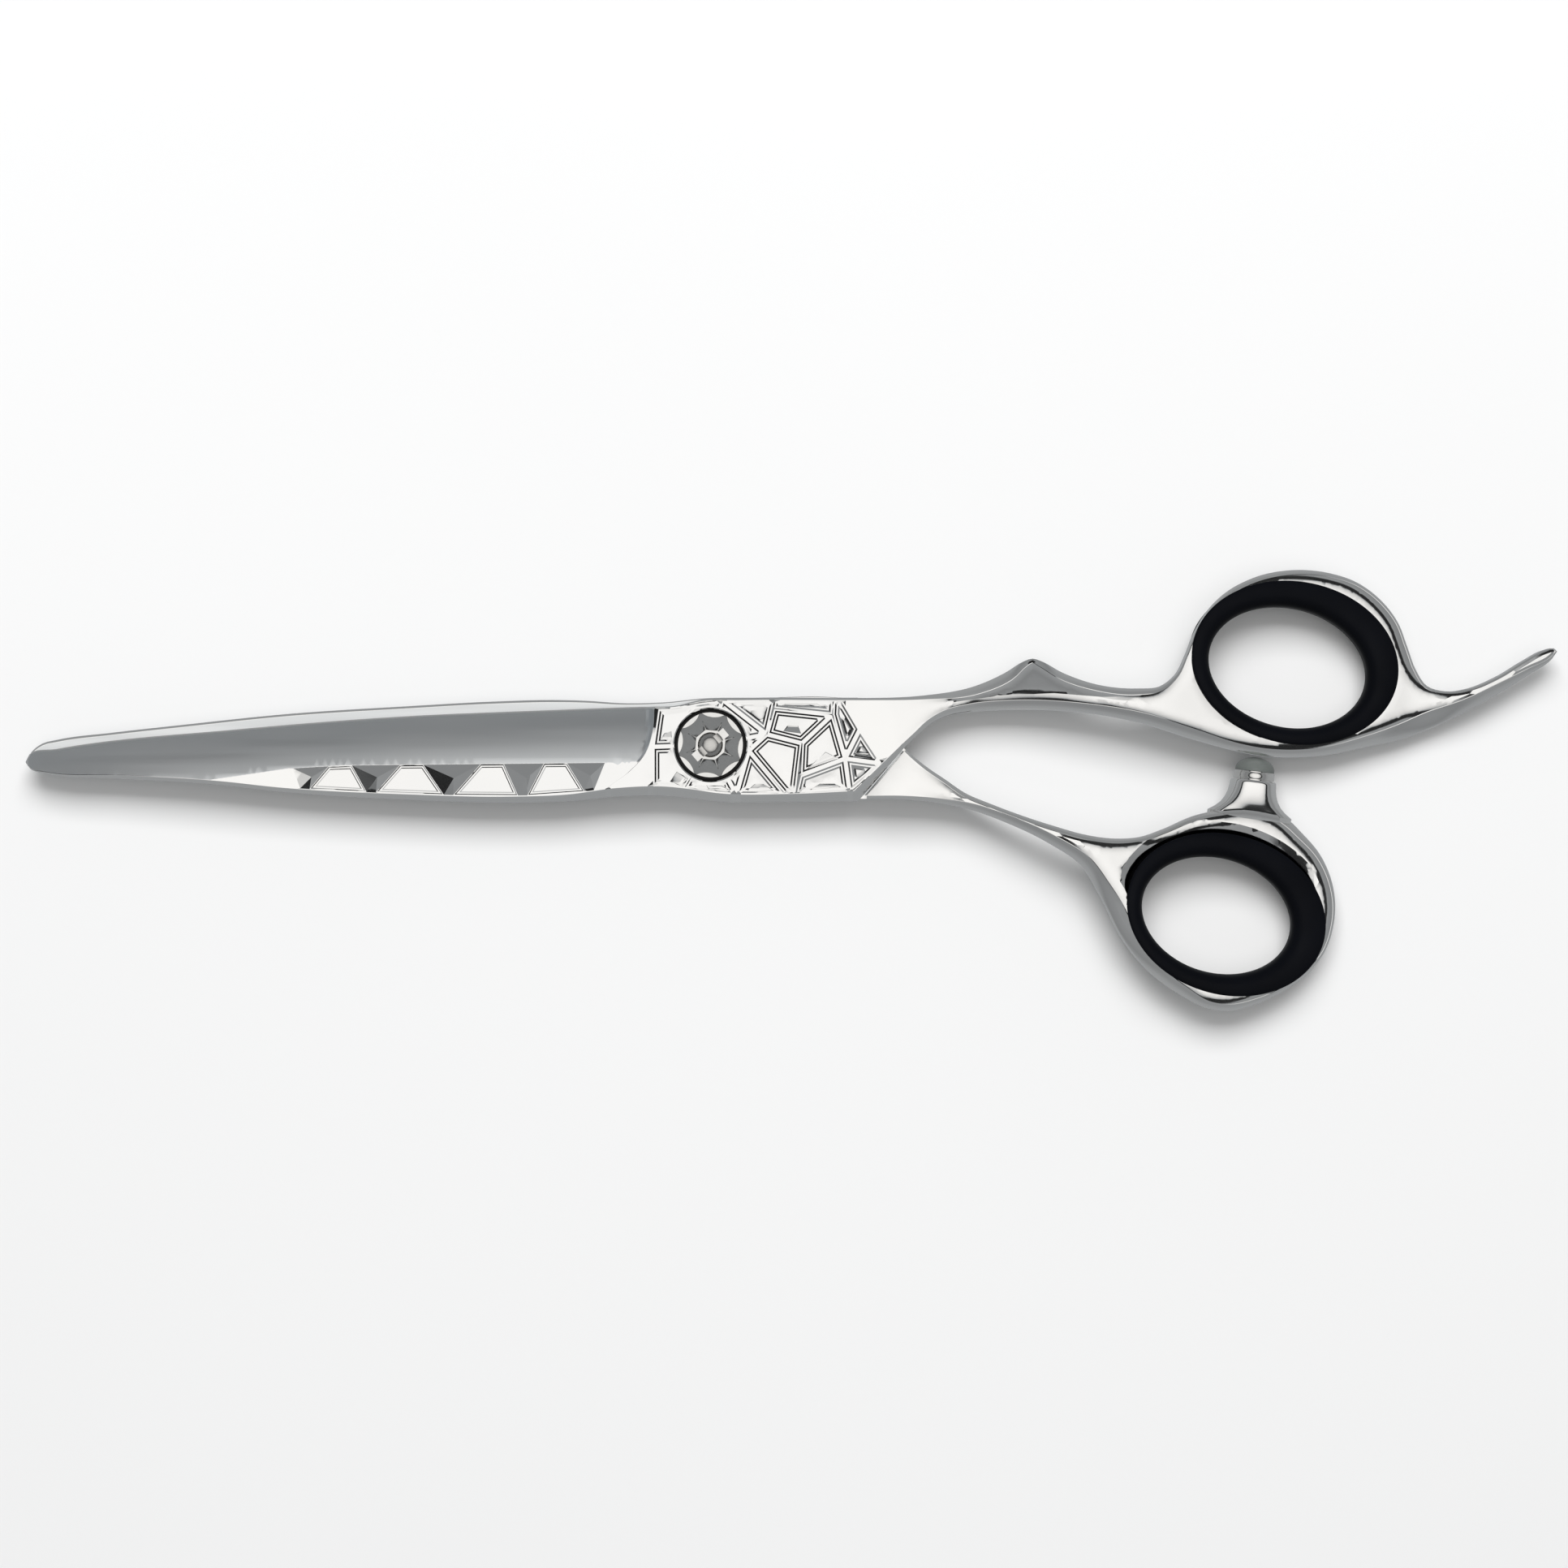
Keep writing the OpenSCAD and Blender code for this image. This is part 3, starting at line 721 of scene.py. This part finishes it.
def forge(name, loop, hole, top, bottom, body, node, parts):
    """A steel half: an outline with flanks, two faces given by their heights, a ring hole and a bore.
    Each part of parts gives one face's feature lines, dots, materials, bore and middle of the steel."""
    s = Shell()
    round_part = smooth(24, 40, loop[:, 0])
    ends = []
    for part, column, face, sign in (("front", 2, top, 1), ("back", 3, bottom, -1)):
        width = loop[:, column]
        ridge = inward(loop, width)
        crease = inward(loop, width + np.minimum(BEVEL, width * .4))
        spec = parts[part]
        lines = spec["lines"](loop, crease) + inner_rows(crease, hole, FACE_ROWS, HANDLE_X + 2)
        round_hole = circle(spec["bore"] + .06)
        dots = grid(crease, [hole, round_hole], 1.0, 0.45)
        dots = dots[spec["dots"](dots)]
        rows = s.cap([crease, hole, round_hole], lines, dots, lambda p: face(p, crease),
                     spec.get("kind", plain))
        z_ridge = face(ridge, crease)
        room = np.abs(z_ridge - spec["mid"](loop[:, 0]))
        ring = s.row(mix(ridge, loop[:, :2], .02), z_ridge)
        drop = np.minimum(FLANK_SLOPE * width, FLANK_SHARE * room)
        s.strip(rows[0], ring, 0)
        last = ring
        for t in FLANK_ROWS:
            fall = mix(t, 1 - math.sqrt(max(0, 1 - t * t)), .3 * round_part)
            row = s.row(mix(ridge, loop[:, :2], t), z_ridge - sign * drop * fall)
            s.strip(last, row, 0)
            last = row
        bore = rows[2]
        for r, z in spec["bore_rows"]:
            deeper = s.row(circle(r), z)
            # Bore walls near the middle of the steel take the third material, the near-black painted
            # shade
            s.strip(bore, deeper, 2 if abs(z - RIDE_Z) < HUB_TOP - RIDE_Z - .2 else 0)
            bore = deeper
        ends.append((last, rows[1], bore))
    for front, back, kind in zip(*ends, (0, 0, 2)):
        s.strip(front, back, kind)
    return s.build(name, [POLISHED, SATIN, BORE_SHADE], body, node, "steel", FORGING_ANGLE)


def ring_hole(hole, lip):
    """Outline of the opening in the steel, which lies inside the insert's groove."""
    return mix(oval(hole), oval(lip), GROOVE_SHARE)


def straight(a, b, count):
    """Corners along a straight stretch, without the last."""
    return np.array([mix(np.array(a, float), np.array(b, float), i / count) for i in range(count)])


# ---- The finger half ----
finger_loop = np.vstack([
    curve(FINGER_TOP + FINGER_SHANK), curve(FINGER_LOW),
    straight((25.1, 0, .5, .3), (23.3, -2.09, .75, .04), 4),
    straight((23.3, -2.09, .75, .04), (18.9, -7.2, 1.35, .04), 10),
    curve(FINGER_SPINE)])
finger_step = [THUMB_WALL[1], THUMB_WALL[0]]
finger_loop = with_step(finger_loop, finger_step, WALL_GAP, 3)
FINGER_OPENING = ring_hole(FINGER_HOLE, FINGER_LIP)
FRONT_RIDGE = inward(finger_loop, finger_loop[:, 2] + BEVEL)


def ridge_part(keep):
    """A part of the finger half's front ridge, from the tips on."""
    part = FRONT_RIDGE[keep]
    return part[np.argsort(part[:, 0])]


def hub_keep_in(p, width):
    """Keeps a facet's corners inside the hub's ridges."""
    low = ridge_part((FRONT_RIDGE[:, 1] < 1) & (FRONT_RIDGE[:, 0] < 25))
    high = ridge_part((FRONT_RIDGE[:, 1] > 1) & (FRONT_RIDGE[:, 0] < 25))
    floor_y = np.interp(p[:, 0], low[:, 0], low[:, 1]) + .06 + width
    roof_y = np.interp(p[:, 0], high[:, 0], high[:, 1]) - .06 - width
    return np.column_stack([p[:, 0], np.clip(p[:, 1], floor_y, roof_y)])


def hub_polygons():
    return [clockwise([(HUB[n][0], HUB[n][1], HUB_TOP + HUB[n][2]) for n in text.split()])
            for text in HUB_FACETS]


def spine_polygons():
    """Triangles between the ground face and the flank, alternately pointing up and down."""
    low_ridge = ridge_part((FRONT_RIDGE[:, 1] < -2.5) & (FRONT_RIDGE[:, 0] < 10))

    def up(x):
        at = np.array([[x, spine_y(x) - .05]])
        return (x, at[0, 1], float(RIDE_Z + ground_face(at, EDGE_TOP)[0]) - .03)

    def low(x):
        y = float(np.interp(x, low_ridge[:, 0], low_ridge[:, 1])) + .05
        at = np.array([[x, spine_y(x)]])
        return (x, y, float(RIDE_Z + ground_face(at, EDGE_TOP)[0]) - .12)

    u, v = SPINE_UP_HALF, SPINE_LOW_HALF
    polys = []
    for i, x in enumerate(SPINE_LOW):
        a, b = SPINE_UP[i], SPINE_UP[i + 1]
        polys.append((clockwise([up(a + u), up(b - u), low(x + v), low(x - v)]), True))
        if i + 1 < len(SPINE_LOW):
            c = SPINE_LOW[i + 1]
            polys.append((clockwise([low(x + v), up(b - u), up(b + u), low(c - v)]), False))
    return polys


HUB_POLYS = hub_polygons()
SPINE_POLYS = spine_polygons()


def pit(poly):
    """Deepest point of a hollow with four corners, and its depth."""
    p = np.array(poly)[:, :2]
    lowest = .55 * (p[0] + p[1]) / 2 + .45 * (p[2] + p[3]) / 2 + [PIT_SHIFT, 0]
    return lowest, PIT_SLOPE * side(lowest[None], (p[0], p[1]))[0]


def spine_surface(points):
    """Height of the polished spine: it falls gently from the ground face to the flank."""
    x = points[:, 0]
    at = np.column_stack([x, spine_y(x)])
    top = RIDE_Z + ground_face(at, EDGE_TOP)
    return np.minimum(top - .03 * np.maximum(at[:, 1] - points[:, 1], 0), HUB_TOP)


def spine_facets(points, z):
    """Heights with the spine's zig-zag: hollows that fall to one point, and terraced facets between."""
    for poly, hollow in SPINE_POLYS:
        d = facet_distance(points, poly)
        k = plane(poly)
        level = np.interp(d, *zip(*SPINE_TERRACES))
        if hollow:
            lowest, depth = pit(poly)
            corners = np.array(poly)[:, :2]
            level = -depth * np.min([side(points, edge) / side(lowest[None], edge)[0]
                                     for edge in zip(corners, np.roll(corners, -1, 0))], 0)
        z = np.where(d > .001 if hollow else d > .03, points @ k[:2] + k[2] + level, z)
    return z


def hub_facets(points, z):
    """Heights with the hub's facets: each is a plane with steps round it and a dished middle."""
    for poly in HUB_POLYS:
        d = facet_distance(points, poly)
        k = plane(poly)
        deep = max(facet_distance(np.array([np.mean(poly, 0)[:2]]), poly)[0], 1)
        level = np.interp(d, *zip(*TERRACES))
        dish = -.11 * np.clip((d - .8) / max(deep - .8, .3), 0, 1) ** 1.5
        on = (d > .03) & (np.hypot(points[:, 0], points[:, 1]) > COUNTERBORE_R + .09)
        z = np.where(on, points @ k[:2] + k[2] + level + dish, z)
    return z


def hub_chips(points, z):
    """Heights with the small steep chips near the facets' base edges."""
    for corners, slope in HUB_CHIPS:
        d = facet_distance(points, clockwise(corners))
        steep = np.linalg.norm(slope)
        along = (points - np.mean(corners, 0)) @ np.array(slope) / steep
        z = np.where(d > .03, z + steep * along + .02 * along ** 2 - .12, z)
    return z


def finger_front(points, ridge):
    x, y = points[:, 0], points[:, 1]
    face = RIDE_Z + ground_face(points, EDGE_TOP)
    z = np.where(y > spine_y(x), np.minimum(face, HUB_TOP), spine_surface(points))
    z = np.where(x > grind_end_x(y), HUB_TOP, z)
    z = np.where(x > HANDLE_X, finger_mid(x) + half_thickness(x), z)
    z = z + crown(points, ridge, FINGER_OPENING, x)
    z = z - HORN_SLOPE * np.maximum(y - np.interp(x, *zip(*HORN_RIDGE)), 0) * (x > HORN_RIDGE[0][0]) \
        * (x < HORN_RIDGE[-1][0])
    return hub_chips(points, hub_facets(points, spine_facets(points, z)))


def grind_end_lines(crease, low, high):
    """Lines across the run-out at the end of a ground face, between two values of y."""
    end = END_CURVE[(END_CURVE[:, 1] < high) & (END_CURVE[:, 1] > low)]
    moved = [end + [off, 0] for off in (-2.2, -1.6, -1.1, -.7, -.35, -.03, .03)]
    return [m[inside(m, crease) & (distance(m, crease) > .1)] for m in moved]


def finger_front_lines(loop, crease):
    lines = []
    for poly in HUB_POLYS:
        for width in [t[0] for t in TERRACES] + [1.2, 1.7]:
            line = facet_loop(poly, width, hub_keep_in)
            if line is not None and len(line) > 3:
                lines.append(np.vstack([line, line[:1]]))
    for corners, _ in HUB_CHIPS:
        for width in (-.02, .06):
            ring = shrink(clockwise(corners), width)
            lines.append(np.array(ring + ring[:1]))
    for poly, hollow in SPINE_POLYS:
        if hollow:
            lowest = pit(poly)[0]
            for corner in shrink(poly, .002):
                lines.append(np.linspace(corner, lowest, 6))
        for width in [.002] if hollow else [t[0] for t in SPINE_TERRACES]:
            ring = shrink(poly, width)
            if ring:
                rows = walk(ring, .6)
                lines.append(np.array(rows + rows[:1]))
    lines += grind_end_lines(crease, -5.6, 4.9)
    xs = np.arange(SPINE_LINE[0][0], -12.5, .6)
    for off in (-.03, .03):
        lines.append(np.column_stack([xs, spine_y(xs) + off]))
    xs = np.arange(HORN_RIDGE[0][0], HORN_RIDGE[-1][0], .6)
    ridge_line = np.column_stack([xs, np.interp(xs, *zip(*HORN_RIDGE))])
    lines.append(ridge_line[inside(ridge_line, crease) & (distance(ridge_line, crease) > .12)])
    return [l for l in lines if len(l) > 1]


def finger_back(points, ridge):
    x = points[:, 0]
    handle = finger_mid(x) - half_thickness(x) - crown(points, ridge, FINGER_OPENING, x)
    step = side(points, finger_step) - WALL_GAP
    return np.where(step > 0, handle, RIDE_Z + RIDE_GAP)


def ground(centres):
    """Satin on the faces before the end of the grind."""
    return (centres[:, 0] < grind_end_x(centres[:, 1]) - .02).astype(int)


def everywhere(points):
    return np.ones(len(points), bool)


forge("finger_half_steel", finger_loop, FINGER_OPENING, finger_front, finger_back,
      "finger_side", "finger_half", {
          "front": {
              "bore": COUNTERBORE_R,
              "bore_rows": [(COUNTERBORE_R, HUB_TOP - .12), (COUNTERBORE_R, SHELF_Z)],
              "lines": finger_front_lines, "mid": finger_mid,
              "dots": lambda p: (p[:, 0] > 23) | (p[:, 0] < -8),
              "kind": lambda c: ground(c) * (c[:, 1] > spine_y(c[:, 0]))},
          "back": {
              "bore": BUSH_R, "bore_rows": [(BUSH_R, SHELF_Z)],
              "lines": step_lines, "mid": finger_mid, "dots": everywhere}})

# ---- The thumb half ----
thumb_loop = np.vstack([
    curve(THUMB_TOP), straight((18.9, 6.1, .04, .5), (25, -.6, .3, .5), 12),
    curve([(25, -.6, .3, .5)] + THUMB_SHANK), curve([THUMB_SHANK[-1]] + THUMB_SPINE)])
thumb_loop = with_step(thumb_loop, FINGER_WALL, WALL_GAP, 2)
THUMB_OPENING = ring_hole(THUMB_HOLE, THUMB_LIP)


def thumb_waist(x):
    """Middle of the steel at the outline: the blade's edge lies behind the ride plane."""
    return thumb_mid(x) - .3 * (1 - smooth(17, 19, x))


def thumb_front(points, ridge):
    x = points[:, 0]
    handle = thumb_mid(x) + half_thickness(x) + crown(points, ridge, THUMB_OPENING, x) \
        + chamfer(points, THUMB_OPENING, THUMB_HOLE[0], THUMB_CHAMFER) * (x > 48)
    step = side(points, FINGER_WALL) - WALL_GAP
    handle = handle - .5 * np.clip(1 - step / 4, 0, 1) ** 2
    return np.where(step > 0, handle, RIDE_Z - RIDE_GAP)


def thumb_back(points, ridge):
    x, y = points[:, 0], points[:, 1]
    face = RIDE_Z - ground_face(points, THUMB_EDGE)
    z = np.where(x > grind_end_x(y), 0, np.maximum(face, 0))
    handle = thumb_mid(x) - half_thickness(x) - crown(points, ridge, THUMB_OPENING, x)
    return np.where(x > HANDLE_X, handle, z)


def thumb_front_lines(loop, crease):
    lines = step_lines(loop, crease)
    to = oval(THUMB_HOLE) - np.array(THUMB_HOLE[0])
    rise = to[:, 1] / np.linalg.norm(to, axis=1)
    wide = THUMB_CHAMFER * smooth(*CHAMFER_FADE, rise)
    outward = -inward(THUMB_OPENING, np.ones(len(THUMB_OPENING))) + THUMB_OPENING
    for share in (.35, .7, .98, 1.06):
        moved = THUMB_OPENING + outward * (wide * share)[:, None]
        fine = (wide * share > .3) & inside(moved, crease) & (distance(moved, crease) > .15)
        lines += runs(moved, fine)
    return lines


def thumb_back_lines(loop, crease):
    return grind_end_lines(crease, -4.8, 5.2)


forge("thumb_half_steel", thumb_loop, THUMB_OPENING, thumb_front, thumb_back,
      "thumb_side", "thumb_half", {
          "front": {
              "bore": WASHER_R, "bore_rows": [(WASHER_R, WASHER_FLOOR), (JOURNAL_R, WASHER_FLOOR)],
              "lines": thumb_front_lines, "mid": thumb_waist, "dots": everywhere,
              "kind": lambda c: (side(c, FINGER_WALL) - WALL_GAP < 0).astype(int)},
          "back": {
              "bore": HEAD_R, "bore_rows": [(HEAD_R, .12), (HEAD_R, HEAD_FLOOR), (JOURNAL_R, HEAD_FLOOR)],
              "lines": thumb_back_lines, "mid": thumb_mid, "dots": everywhere, "kind": ground}})


# ---- Rubber inserts ----
# Share of the way from the hole to the lip, and height as a share of the half thickness
INSERT_SECTION = [(.0, -.3), (.0, .3), (.03, .52), (.09, .7), (.18, .84), (.3, .94), (.46, 1), (.66, 1),
                  (.84, .98), (.96, .94), (1, .9), (1, .86), (GROOVE_SHARE, .86), (GROOVE_SHARE, -.86),
                  (1, -.86), (1, -.9), (.96, -.94), (.84, -.98), (.66, -1), (.46, -1), (.3, -.94),
                  (.18, -.84), (.09, -.7), (.03, -.52)]


def insert(name, hole, lip, body, node):
    s = Shell()
    a, b = oval(hole), oval(lip)
    rows = []
    for share, height in INSERT_SECTION:
        xy = mix(a, b, share)
        rows.append(s.row(xy, ring_plane(xy[:, 0], lip) + height * INSERT_HALF_T))
    for i, row in enumerate(rows):
        s.strip(row, rows[(i + 1) % len(rows)])
    s.build(name, [RUBBER], body, node, "insert_rubber")


insert("finger_insert_rubber", FINGER_HOLE, FINGER_LIP, "finger_side", "finger_insert")
insert("thumb_insert_rubber", THUMB_HOLE, THUMB_LIP, "thumb_side", "thumb_insert")


# ---- Turned pieces ----
def turn(s, profile, count=96, start=0.0, closed=False, square=1.0):
    """Rows round the z axis: each is a radius, or half width and half height, with a height along it."""
    angle = math.radians(start) + 2 * math.pi * np.arange(count) / count
    rows = []
    for size, z in profile:
        wide, deep = size if isinstance(size, tuple) else (size, size)
        u, v = [np.sign(f) * np.abs(f) ** square for f in (np.cos(angle), np.sin(angle))]
        rows.append(s.row(np.stack([wide * u, deep * v], 1), z))
    for a, b in zip(rows, rows[1:] + rows[:1] if closed else rows[1:]):
        s.strip(a, b)


def cut(obj, tool):
    """Takes a tool's shape out of a piece."""
    modifier = obj.modifiers.new("cut", "BOOLEAN")
    modifier.object = tool
    modifier.solver = "EXACT"
    bpy.context.view_layer.update()
    evaluated = obj.evaluated_get(bpy.context.evaluated_depsgraph_get())
    cut_mesh = bpy.data.meshes.new_from_object(evaluated)
    obj.modifiers.clear()
    obj.data = cut_mesh
    bpy.data.objects.remove(tool)
    finish_mesh(obj)


def cutter(corners, low, high):
    """A prism over some corners."""
    s = Shell()
    xy = np.array(corners, float)
    rows = [s.row(xy, low), s.row(xy, high)]
    s.strip(rows[0], rows[1])
    s.faces += [tuple(rows[0]), tuple(rows[1][::-1])]
    s.kinds += [0, 0]
    mesh = bpy.data.meshes.new("cutter")
    mesh.from_pydata([tuple(c * MM for c in p) for p in s.points], [], s.faces)
    obj = bpy.data.objects.new("cutter", mesh)
    bpy.context.scene.collection.objects.link(obj)
    finish_mesh(obj)
    obj.modifiers.clear()
    return obj


def key_notches(obj):
    """The two notches for the key, from the stud's dome into the dial's facets."""
    a = math.radians(SLOT_ANGLE)
    along, across = np.array([math.cos(a), math.sin(a)]), np.array([-math.sin(a), math.cos(a)])
    for sign in (1, -1):
        near, far = NOTCH[0] * sign * along, NOTCH[1] * sign * along
        half = NOTCH[2] / 2 * across
        cut(obj, cutter([near - half, far - half, far + half, near + half], NOTCH_Z, DIAL_TOP + 1))


def dial():
    count = 192
    half_step = 180 / SCALLOPS
    ridge = SLOT_ANGLE + half_step
    degrees = ridge + 360 * np.arange(count) / count
    off = np.radians((degrees - ridge) % (2 * half_step) - half_step)
    reach = DIAL_R - SCALLOP_DEPTH + SCALLOP_R
    bite = reach * np.cos(off) - np.sqrt(SCALLOP_R ** 2 - (reach * np.sin(off)) ** 2)
    rim = np.minimum(bite, DIAL_R)
    flat_r = OCTAGON_R * math.cos(math.radians(half_step))
    octagon = flat_r / np.cos(off)

    def facet(r):
        out = r * np.cos(off) - flat_r
        hollow = 1 - (off / math.radians(half_step)) ** 2
        return DIAL_TOP - .03 - (DIAL_SLOPE + DIAL_HOLLOW * hollow) * np.maximum(out - .06, 0)

    same = np.ones(count)
    profile = [(DIAL_BORE_R * same, DIAL_Z), (DIAL_BORE_R * same, OCTAGON_Z - .2),
               (1.58 * same, OCTAGON_Z - .08), (1.6 * same, OCTAGON_Z), (octagon, OCTAGON_Z),
               (octagon + .01, DIAL_TOP - .1), (octagon + .05, DIAL_TOP - .03)]
    for u in (.05, .2, .4, .6, .8, .94, 1):
        r = mix(octagon + .07, rim - .03, u)
        profile.append((r, facet(r)))
    profile += [(rim, facet(rim) - .06), (rim, SCALLOP_Z + .05), (mix(rim, DIAL_R, .05), SCALLOP_Z),
                (mix(rim, DIAL_R, .95), SCALLOP_Z), (DIAL_R * same, SCALLOP_Z - .05),
                (DIAL_R * same, DIAL_Z + .1), ((DIAL_R - .07) * same, DIAL_Z)]
    s = Shell()
    turn(s, profile, count, ridge, True)
    key_notches(s.build("dial", [DIAL_METAL], "dial", "tension_dial", "pivot_steel"))


def stud():
    dome = [(DOME_R * math.cos(t), STUD_TOP - DOME_H + DOME_H * math.sin(t))
            for t in np.linspace(.12, math.pi / 2, 14)]
    s = Shell()
    turn(s, [(0, 0), (STUD_HEAD_R - .4, 0), (STUD_HEAD_R - .15, .02), (STUD_HEAD_R, .17),
             (STUD_HEAD_R, HEAD_TOP - .1), (STUD_HEAD_R - .1, HEAD_TOP), (JOURNAL_R, HEAD_TOP),
             (JOURNAL_R, JOURNAL_TOP - .05), (JOURNAL_R - .05, JOURNAL_TOP), (THREAD_R, JOURNAL_TOP),
             (THREAD_R, THREAD_TOP), (DOME_R - .02, THREAD_TOP + .15)] + dome)
    obj = s.build("stud", [STUD_METAL], "thumb_side", "pivot_stud", "pivot_steel")
    for x in (-SPANNER_PITCH / 2, SPANNER_PITCH / 2):
        cut(obj, cutter(circle(SPANNER_R, 32) + [x, 0], -.5, HEAD_TOP / 2))
    key_notches(obj)


def on_bumper_axis(s):
    """Moves a piece from the z axis to the bumper's axis, which points at the finger ring."""
    p = np.array(s.points)
    c, d = math.cos(BUMPER_LEAN), math.sin(BUMPER_LEAN)
    s.points = [tuple(q) for q in np.column_stack([
        c * p[:, 0] + d * p[:, 2], c * p[:, 2] - d * p[:, 0], -p[:, 1]]) + np.array(BUMPER_BASE)]


# The post from the collar down to the ring: radius, or half width and half height, and place on its axis
POST = [(0, 0), (2.55, 0), (2.76, -.05), (2.87, -.2), (2.9, -.5), ((2.97, 2.88), -1.1),
        ((3.12, 2.8), -1.8), ((3.4, 2.66), -2.5), ((3.85, 2.48), -3.2), ((4.5, 2.28), -3.8),
        ((5.4, 2.1), -4.4), ((5.4, 1.6), -5), (0, -5)]
POST_SQUARE = 0.68      # 1 is round, and less is nearer a rectangle


def bumper():
    post, seat, cap = Shell(), Shell(), Shell()
    turn(post, POST, 128, square=POST_SQUARE)
    groove, socket = SEAT_R - .16, SEAT_H - SOCKET_DEPTH
    turn(seat, [(0, -STEM_L), (.9, -STEM_L), (1, -STEM_L + .1), (1, 0), (groove, 0), (groove, .1),
                (SEAT_R - .04, .11), (SEAT_R, .17), (SEAT_R, SEAT_H - .17), (SEAT_R - .04, SEAT_H - .11),
                (groove, SEAT_H - .1), (groove, SEAT_H), (SOCKET_R, SEAT_H), (SOCKET_R, socket),
                (0, socket)])
    dome = [(CAP_R * math.cos(t), SEAT_H + .2 + (CAP_H - .2) * math.sin(t))
            for t in np.linspace(0, math.pi / 2, 16)]
    turn(cap, [(0, socket), (SOCKET_R, socket), (SOCKET_R, SEAT_H), (CAP_R - .06, SEAT_H),
               (CAP_R, SEAT_H + .05)] + dome)
    for s, name, finish, node, slot_name in (
            (post, "bumper_post", POLISHED, "thumb_half", "steel"),
            (seat, "bumper_collar", SEAT_METAL, "bumper_seat", "seat_metal"),
            (cap, "bumper_dome", SILICONE, "bumper_cap", "bumper_silicone")):
        on_bumper_axis(s)
        s.build(name, [finish], "thumb_side", node, slot_name)


dial()
stud()
bumper()

# ---- Carried-over CAD nodes ----
# The thrust washer takes the near-black painted shade
for node, finish in (("ride_washer", PLASTIC), ("pivot_bush", BRONZE), ("thrust_washer", WASHER_SHADE),
                     ("click_spring", SPRING_METAL)):
    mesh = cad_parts[node].data
    mesh.materials.clear()
    mesh.materials.append(finish)


# ---- Stage, in metres ----
FLOOR_GAP = .0002
CAMERA_PLACE = (.0094, -.005, .479)
# Height of a direction, 1 at the zenith, and the sky's brightness there. The dark band shows in the
# steel's steps as dark lines.
SKY = [(0, .36), (.3, .33), (.5, .24), (.7, .28), (.745, .32), (.757, .02), (.84, .02),
       (.85, .45), (.88, .7), (.94, .95), (1, 1.06)]
COOL, WARM = (.97, 1, 1.02), (1.008, 1, .985)


def floor():
    m, s = material("floor_paint", (.86, .86, .86), .55, 0)
    m.node_tree.links.new(ramp(m, noise(m, 4, 2), [(.3, (.85, .85, .85)), (.7, (.87, .87, .87))]),
                          s.inputs["Base Color"])
    bpy.ops.mesh.primitive_plane_add(size=4, location=(0, 0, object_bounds()[0][2] - FLOOR_GAP))
    plane_obj = bpy.context.object
    plane_obj.name = "floor"
    plane_obj.data.materials.append(m)
    plane_obj.visible_glossy = False
    plane_obj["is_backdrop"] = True


def sky():
    """A broad white light overhead over a dark band, and grey from there to the horizon."""
    world = bpy.data.worlds.new("studio")
    bpy.context.scene.world = world
    world.use_nodes = True
    tree = world.node_tree
    place = tree.nodes.new("ShaderNodeTexCoord")
    split = tree.nodes.new("ShaderNodeSeparateXYZ")
    tree.links.new(place.outputs["Generated"], split.inputs[0])
    node = tree.nodes.new("ShaderNodeValToRGB")
    tree.links.new(split.outputs["Z"], node.inputs["Fac"])
    elements = node.color_ramp.elements
    while len(elements) < len(SKY):
        elements.new(.5)
    for element, (at, value) in zip(elements, SKY):
        element.position = at
        element.color = (*[value * t for t in (COOL if value < .5 else WARM)], 1)
    tree.links.new(node.outputs["Color"], tree.nodes["Background"].inputs["Color"])
    tree.nodes["Background"].inputs["Strength"].default_value = 1


def lamp(name, place, size, power, aim=(0.01, 0, 0)):
    data = bpy.data.lights.new(name, "AREA")
    data.shape = "RECTANGLE"
    data.size, data.size_y = size
    data.energy = power
    obj = bpy.data.objects.new(name, data)
    obj.location = place
    obj.rotation_euler = (Vector(aim) - Vector(place)).to_track_quat("-Z", "Y").to_euler()
    obj.visible_glossy = False
    bpy.context.scene.collection.objects.link(obj)


def camera():
    data = bpy.data.cameras.new("camera")
    data.lens = 85
    obj = bpy.data.objects.new("camera", data)
    obj.location = CAMERA_PLACE
    bpy.context.scene.collection.objects.link(obj)
    bpy.context.scene.camera = obj


floor()
sky()
lamp("key", (.02, .75, 1.05), (1.0, .7), 16.6)
camera()
bpy.context.scene.view_settings.view_transform = "Standard"
